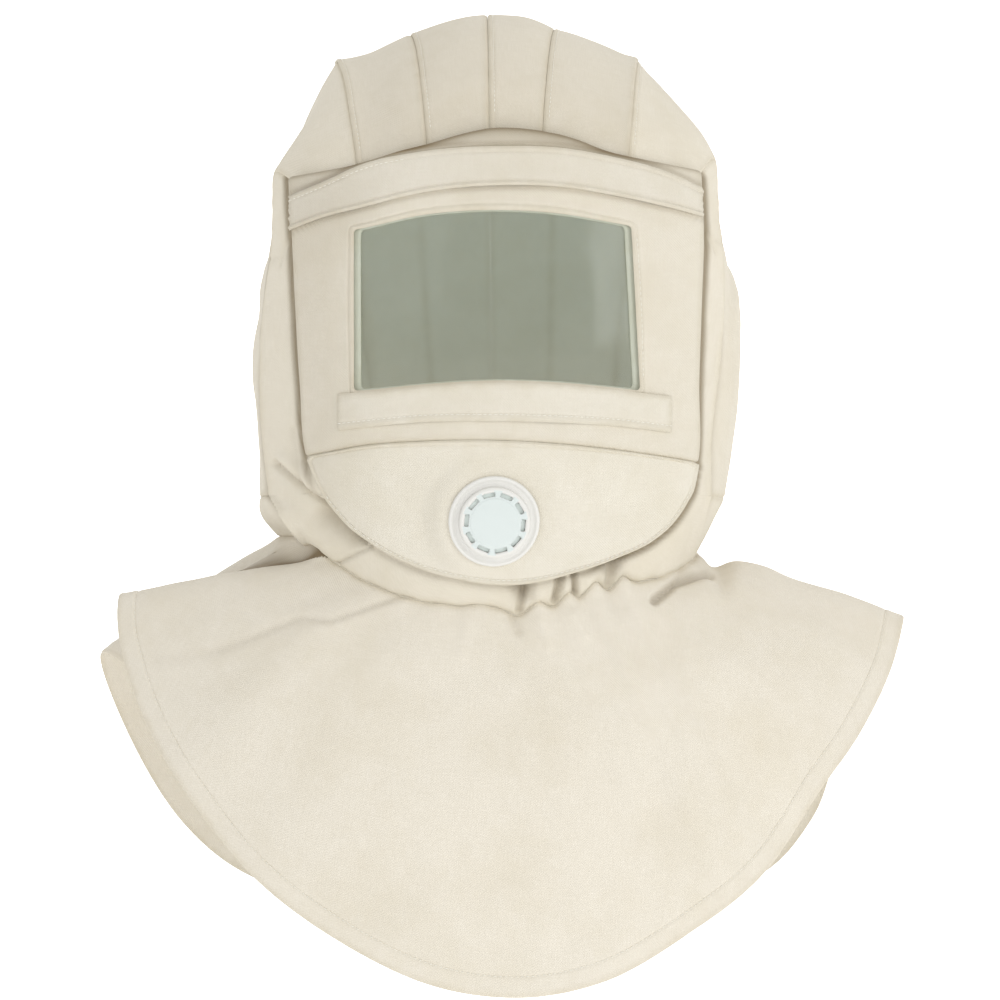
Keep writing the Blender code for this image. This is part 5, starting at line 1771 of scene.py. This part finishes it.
class HOOD_OT_window(Operator):
    """Make the curved clear sheet and the binding that shows round it."""

    bl_idname = "hood.window"
    bl_label = "Window"

    def execute(self, context):
        inner = (
            (0.016, 0.03),
            (face_line(WINDOW_TOP, -BINDING_TOP_SHOW), face_line(WINDOW_BOTTOM, BINDING_TOP_SHOW)),
            (window_side(WINDOW_LEFT, BINDING_SHOW), window_side(WINDOW_RIGHT, -BINDING_SHOW)),
        )
        back = BINDING_OVERLAP
        outer = (
            (0.014, 0.024),
            (face_line(WINDOW_TOP, back), face_line(WINDOW_BOTTOM, -back)),
            (window_side(WINDOW_LEFT, -back), window_side(WINDOW_RIGHT, back)),
        )
        base = face_ring(inner, outer, stretches((0, 0.4, 1), (8, 6)), -FACE_CLOTH - LAYER_GAP)
        front = np.broadcast_to(np.array([0.0, -1.0, 0.0]), base.shape)
        sewn = Sewn(
            base, front, {"top": 0.0, "bottom": 0.0}, calm=("bottom",), inward=toward_back(BINDING_THICKNESS), wrinkle=0.2, ring=True, flat=True
        )
        colour = context.scene.hood_colours.binding
        piece = bend_slab("binding", sewn, cloth_material("binding_cloth", tuple(colour), 0.0007))
        replace_cloth("window_binding")

        across, down = grid_of(spread(90, 0.1), spread(34, 0.1))
        lines = (face_line(WINDOW_TOP, LENS_OVERLAP), face_line(WINDOW_BOTTOM, -LENS_OVERLAP))
        sides = (window_side(WINDOW_LEFT, -LENS_OVERLAP), window_side(WINDOW_RIGHT, LENS_OVERLAP))
        x, z = face_place(across, down, lines, sides)
        base = on_face(x, z, -FACE_CLOTH - BINDING_THICKNESS - 2 * LAYER_GAP)
        front = np.broadcast_to(np.array([0.0, -1.0, 0.0]), base.shape)
        sheet = Sewn(base, front, {"top": 0.0}, calm=("top",), inward=toward_back(LENS_THICKNESS), wrinkle=0.25)
        sheet.inner = sheet.outer + np.array([0.0, LENS_THICKNESS, 0.0])
        lens = bend_slab("window_sheet", sheet, clear_material())
        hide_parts("lens")
        return {"FINISHED"}


class HOOD_OT_valve(Operator):
    """Turn the breathing valve's flange, cap, membrane and nut."""

    bl_idname = "hood.valve"
    bl_label = "Valve"

    def execute(self, context):
        colours = context.scene.hood_colours
        white, disc = colours.plastic, colours.disc
        plastic = mottled_material("valve_white", white, [c * 0.95 for c in white], 40.0, 0.38, 0.00003)
        greenish = mottled_material("valve_disc", disc, [c * 0.96 for c in disc], 40.0, 0.42, 0.00003)
        rubber = mottled_material("valve_rubber", colours.rubber, [c * 0.9 for c in colours.rubber], 60.0, 0.55, 0.00004)
        flange = finish_object("valve_rim", turned(VALVE_FLANGE, VALVE_STEPS, 0.35), plastic)
        seat_valve_piece(flange, "valve_flange")
        cap = finish_object("valve_lid", turned(VALVE_CAP, VALVE_STEPS, 0.3), plastic, greenish)
        cut_slots(cap)
        for face in cap.data.polygons:
            reach = math.hypot(face.center.x, face.center.y)
            if reach < SLOT_R * MM + 0.5 * SLOT_WIDTH * MM and face.center.z > CAP_FRONT * MM:
                face.material_index = 1
        seat_valve_piece(cap, "valve_cap")
        membrane = finish_object("valve_leaf", turned(VALVE_MEMBRANE, VALVE_STEPS, 0.2), rubber)
        seat_valve_piece(membrane, "valve_membrane")
        nut = finish_object("valve_ring", turned(VALVE_NUT, VALVE_STEPS, 0.4), plastic)
        seat_valve_piece(nut, "valve_nut")
        return {"FINISHED"}


class HOOD_OT_stage(Operator):
    """Lay the pale floor, hang the lights and set the camera."""

    bl_idname = "hood.stage"
    bl_label = "Stage"

    def execute(self, context):
        scene = context.scene
        scene.view_settings.view_transform = "Standard"
        paper = mottled_material("studio_paper", scene.hood_colours.paper, scene.hood_colours.paper, 3.0, 0.9, 0.0)
        bm = bmesh.new()
        bmesh.ops.create_grid(bm, x_segments=4, y_segments=SWEEP_ROWS, size=FLOOR_HALF)
        for vert in bm.verts:
            past = max(vert.co.y - SWEEP_Y, 0.0)
            turn = min(past / SWEEP_R, math.pi / 2)
            rise = past - turn * SWEEP_R
            vert.co.y = min(vert.co.y, SWEEP_Y) + SWEEP_R * math.sin(turn)
            vert.co.z = FLOOR_Z + SWEEP_R * (1 - math.cos(turn)) + rise
        mesh = bpy.data.meshes.new("floor")
        bm.to_mesh(mesh)
        bm.free()
        mesh.materials.append(paper)
        mesh.shade_smooth()
        floor = bpy.data.objects.new("floor", mesh)
        scene.collection.objects.link(floor)
        tree = paper.node_tree
        shader = tree.nodes["Principled BSDF"]
        shader.inputs["Emission Color"].default_value = (1.0, 1.0, 1.0, 1.0)
        seen = node(tree, "ShaderNodeLightPath").outputs["Is Camera Ray"]
        glow = maths(tree, "MULTIPLY_ADD", seen, FLOOR_SEEN - FLOOR_GLOW, FLOOR_GLOW)
        tree.links.new(glow, shader.inputs["Emission Strength"])

        world = bpy.data.worlds.new("studio")
        world.use_nodes = True
        tree = world.node_tree
        lighting = tree.nodes["Background"]
        lighting.inputs["Color"].default_value = (1.0, 1.0, 1.0, 1.0)
        lighting.inputs["Strength"].default_value = WORLD_STRENGTH
        seen = node(tree, "ShaderNodeBackground", {"Color": (1.0, 1.0, 1.0, 1.0), "Strength": 1.0})
        mix = node(
            tree,
            "ShaderNodeMixShader",
            {0: node(tree, "ShaderNodeLightPath").outputs["Is Camera Ray"], 1: lighting.outputs[0], 2: seen.outputs[0]},
        )
        tree.links.new(mix.outputs[0], tree.nodes["World Output"].inputs[0])
        scene.world = world

        for name, place, size, watts in LIGHTS:
            data = bpy.data.lights.new(name, "AREA")
            data.size, data.energy = size, watts
            light = bpy.data.objects.new(name, data)
            light.location = place
            aim = Vector(AIM) - Vector(place)
            light.rotation_euler = aim.to_track_quat("-Z", "Y").to_euler()
            light.visible_glossy = False
            scene.collection.objects.link(light)

        place, radius, watts = INSIDE_LIGHT
        data = bpy.data.lights.new("inside", "POINT")
        data.shadow_soft_size, data.energy, data.color = radius, watts, INSIDE_COLOUR
        lamp = bpy.data.objects.new("inside", data)
        lamp.location = place
        lamp.visible_camera = False
        lamp.visible_glossy = False
        lamp.visible_transmission = False
        scene.collection.objects.link(lamp)

        data = bpy.data.cameras.new("camera")
        data.lens, data.sensor_width = CAMERA_LENS, CAMERA_SENSOR
        camera = bpy.data.objects.new("camera", data)
        camera.location = CAMERA_PLACE
        camera.rotation_euler = (math.pi / 2, 0.0, 0.0)
        scene.collection.objects.link(camera)
        scene.camera = camera
        return {"FINISHED"}


OPERATORS = (
    HOOD_OT_crown,
    HOOD_OT_sides,
    HOOD_OT_band,
    HOOD_OT_cape,
    HOOD_OT_face,
    HOOD_OT_window,
    HOOD_OT_valve,
    HOOD_OT_stage,
)


class HOOD_PT_panel(Panel):
    """Lists the hood's sizes, colours and steps."""

    bl_label = "Sandblasting hood"
    bl_idname = "HOOD_PT_panel"
    bl_space_type = "VIEW_3D"
    bl_region_type = "UI"
    bl_category = "Hood"

    def draw(self, context):
        for group in (context.scene.hood_sizes, context.scene.hood_colours):
            box = self.layout.box()
            for name in group.__annotations__:
                box.prop(group, name)
        for operator in OPERATORS:
            self.layout.operator(operator.bl_idname)


CLASSES = (HoodSizes, HoodColours, *OPERATORS, HOOD_PT_panel)


def register():
    for cls in CLASSES:
        bpy.utils.register_class(cls)
    bpy.types.Scene.hood_sizes = PointerProperty(type=HoodSizes)
    bpy.types.Scene.hood_colours = PointerProperty(type=HoodColours)


def unregister():
    del bpy.types.Scene.hood_colours
    del bpy.types.Scene.hood_sizes
    for cls in reversed(CLASSES):
        bpy.utils.unregister_class(cls)


def main():
    register()
    for operator in OPERATORS:
        group, name = operator.bl_idname.split(".")
        getattr(getattr(bpy.ops, group), name)()


if __name__ == "__main__":
    main()
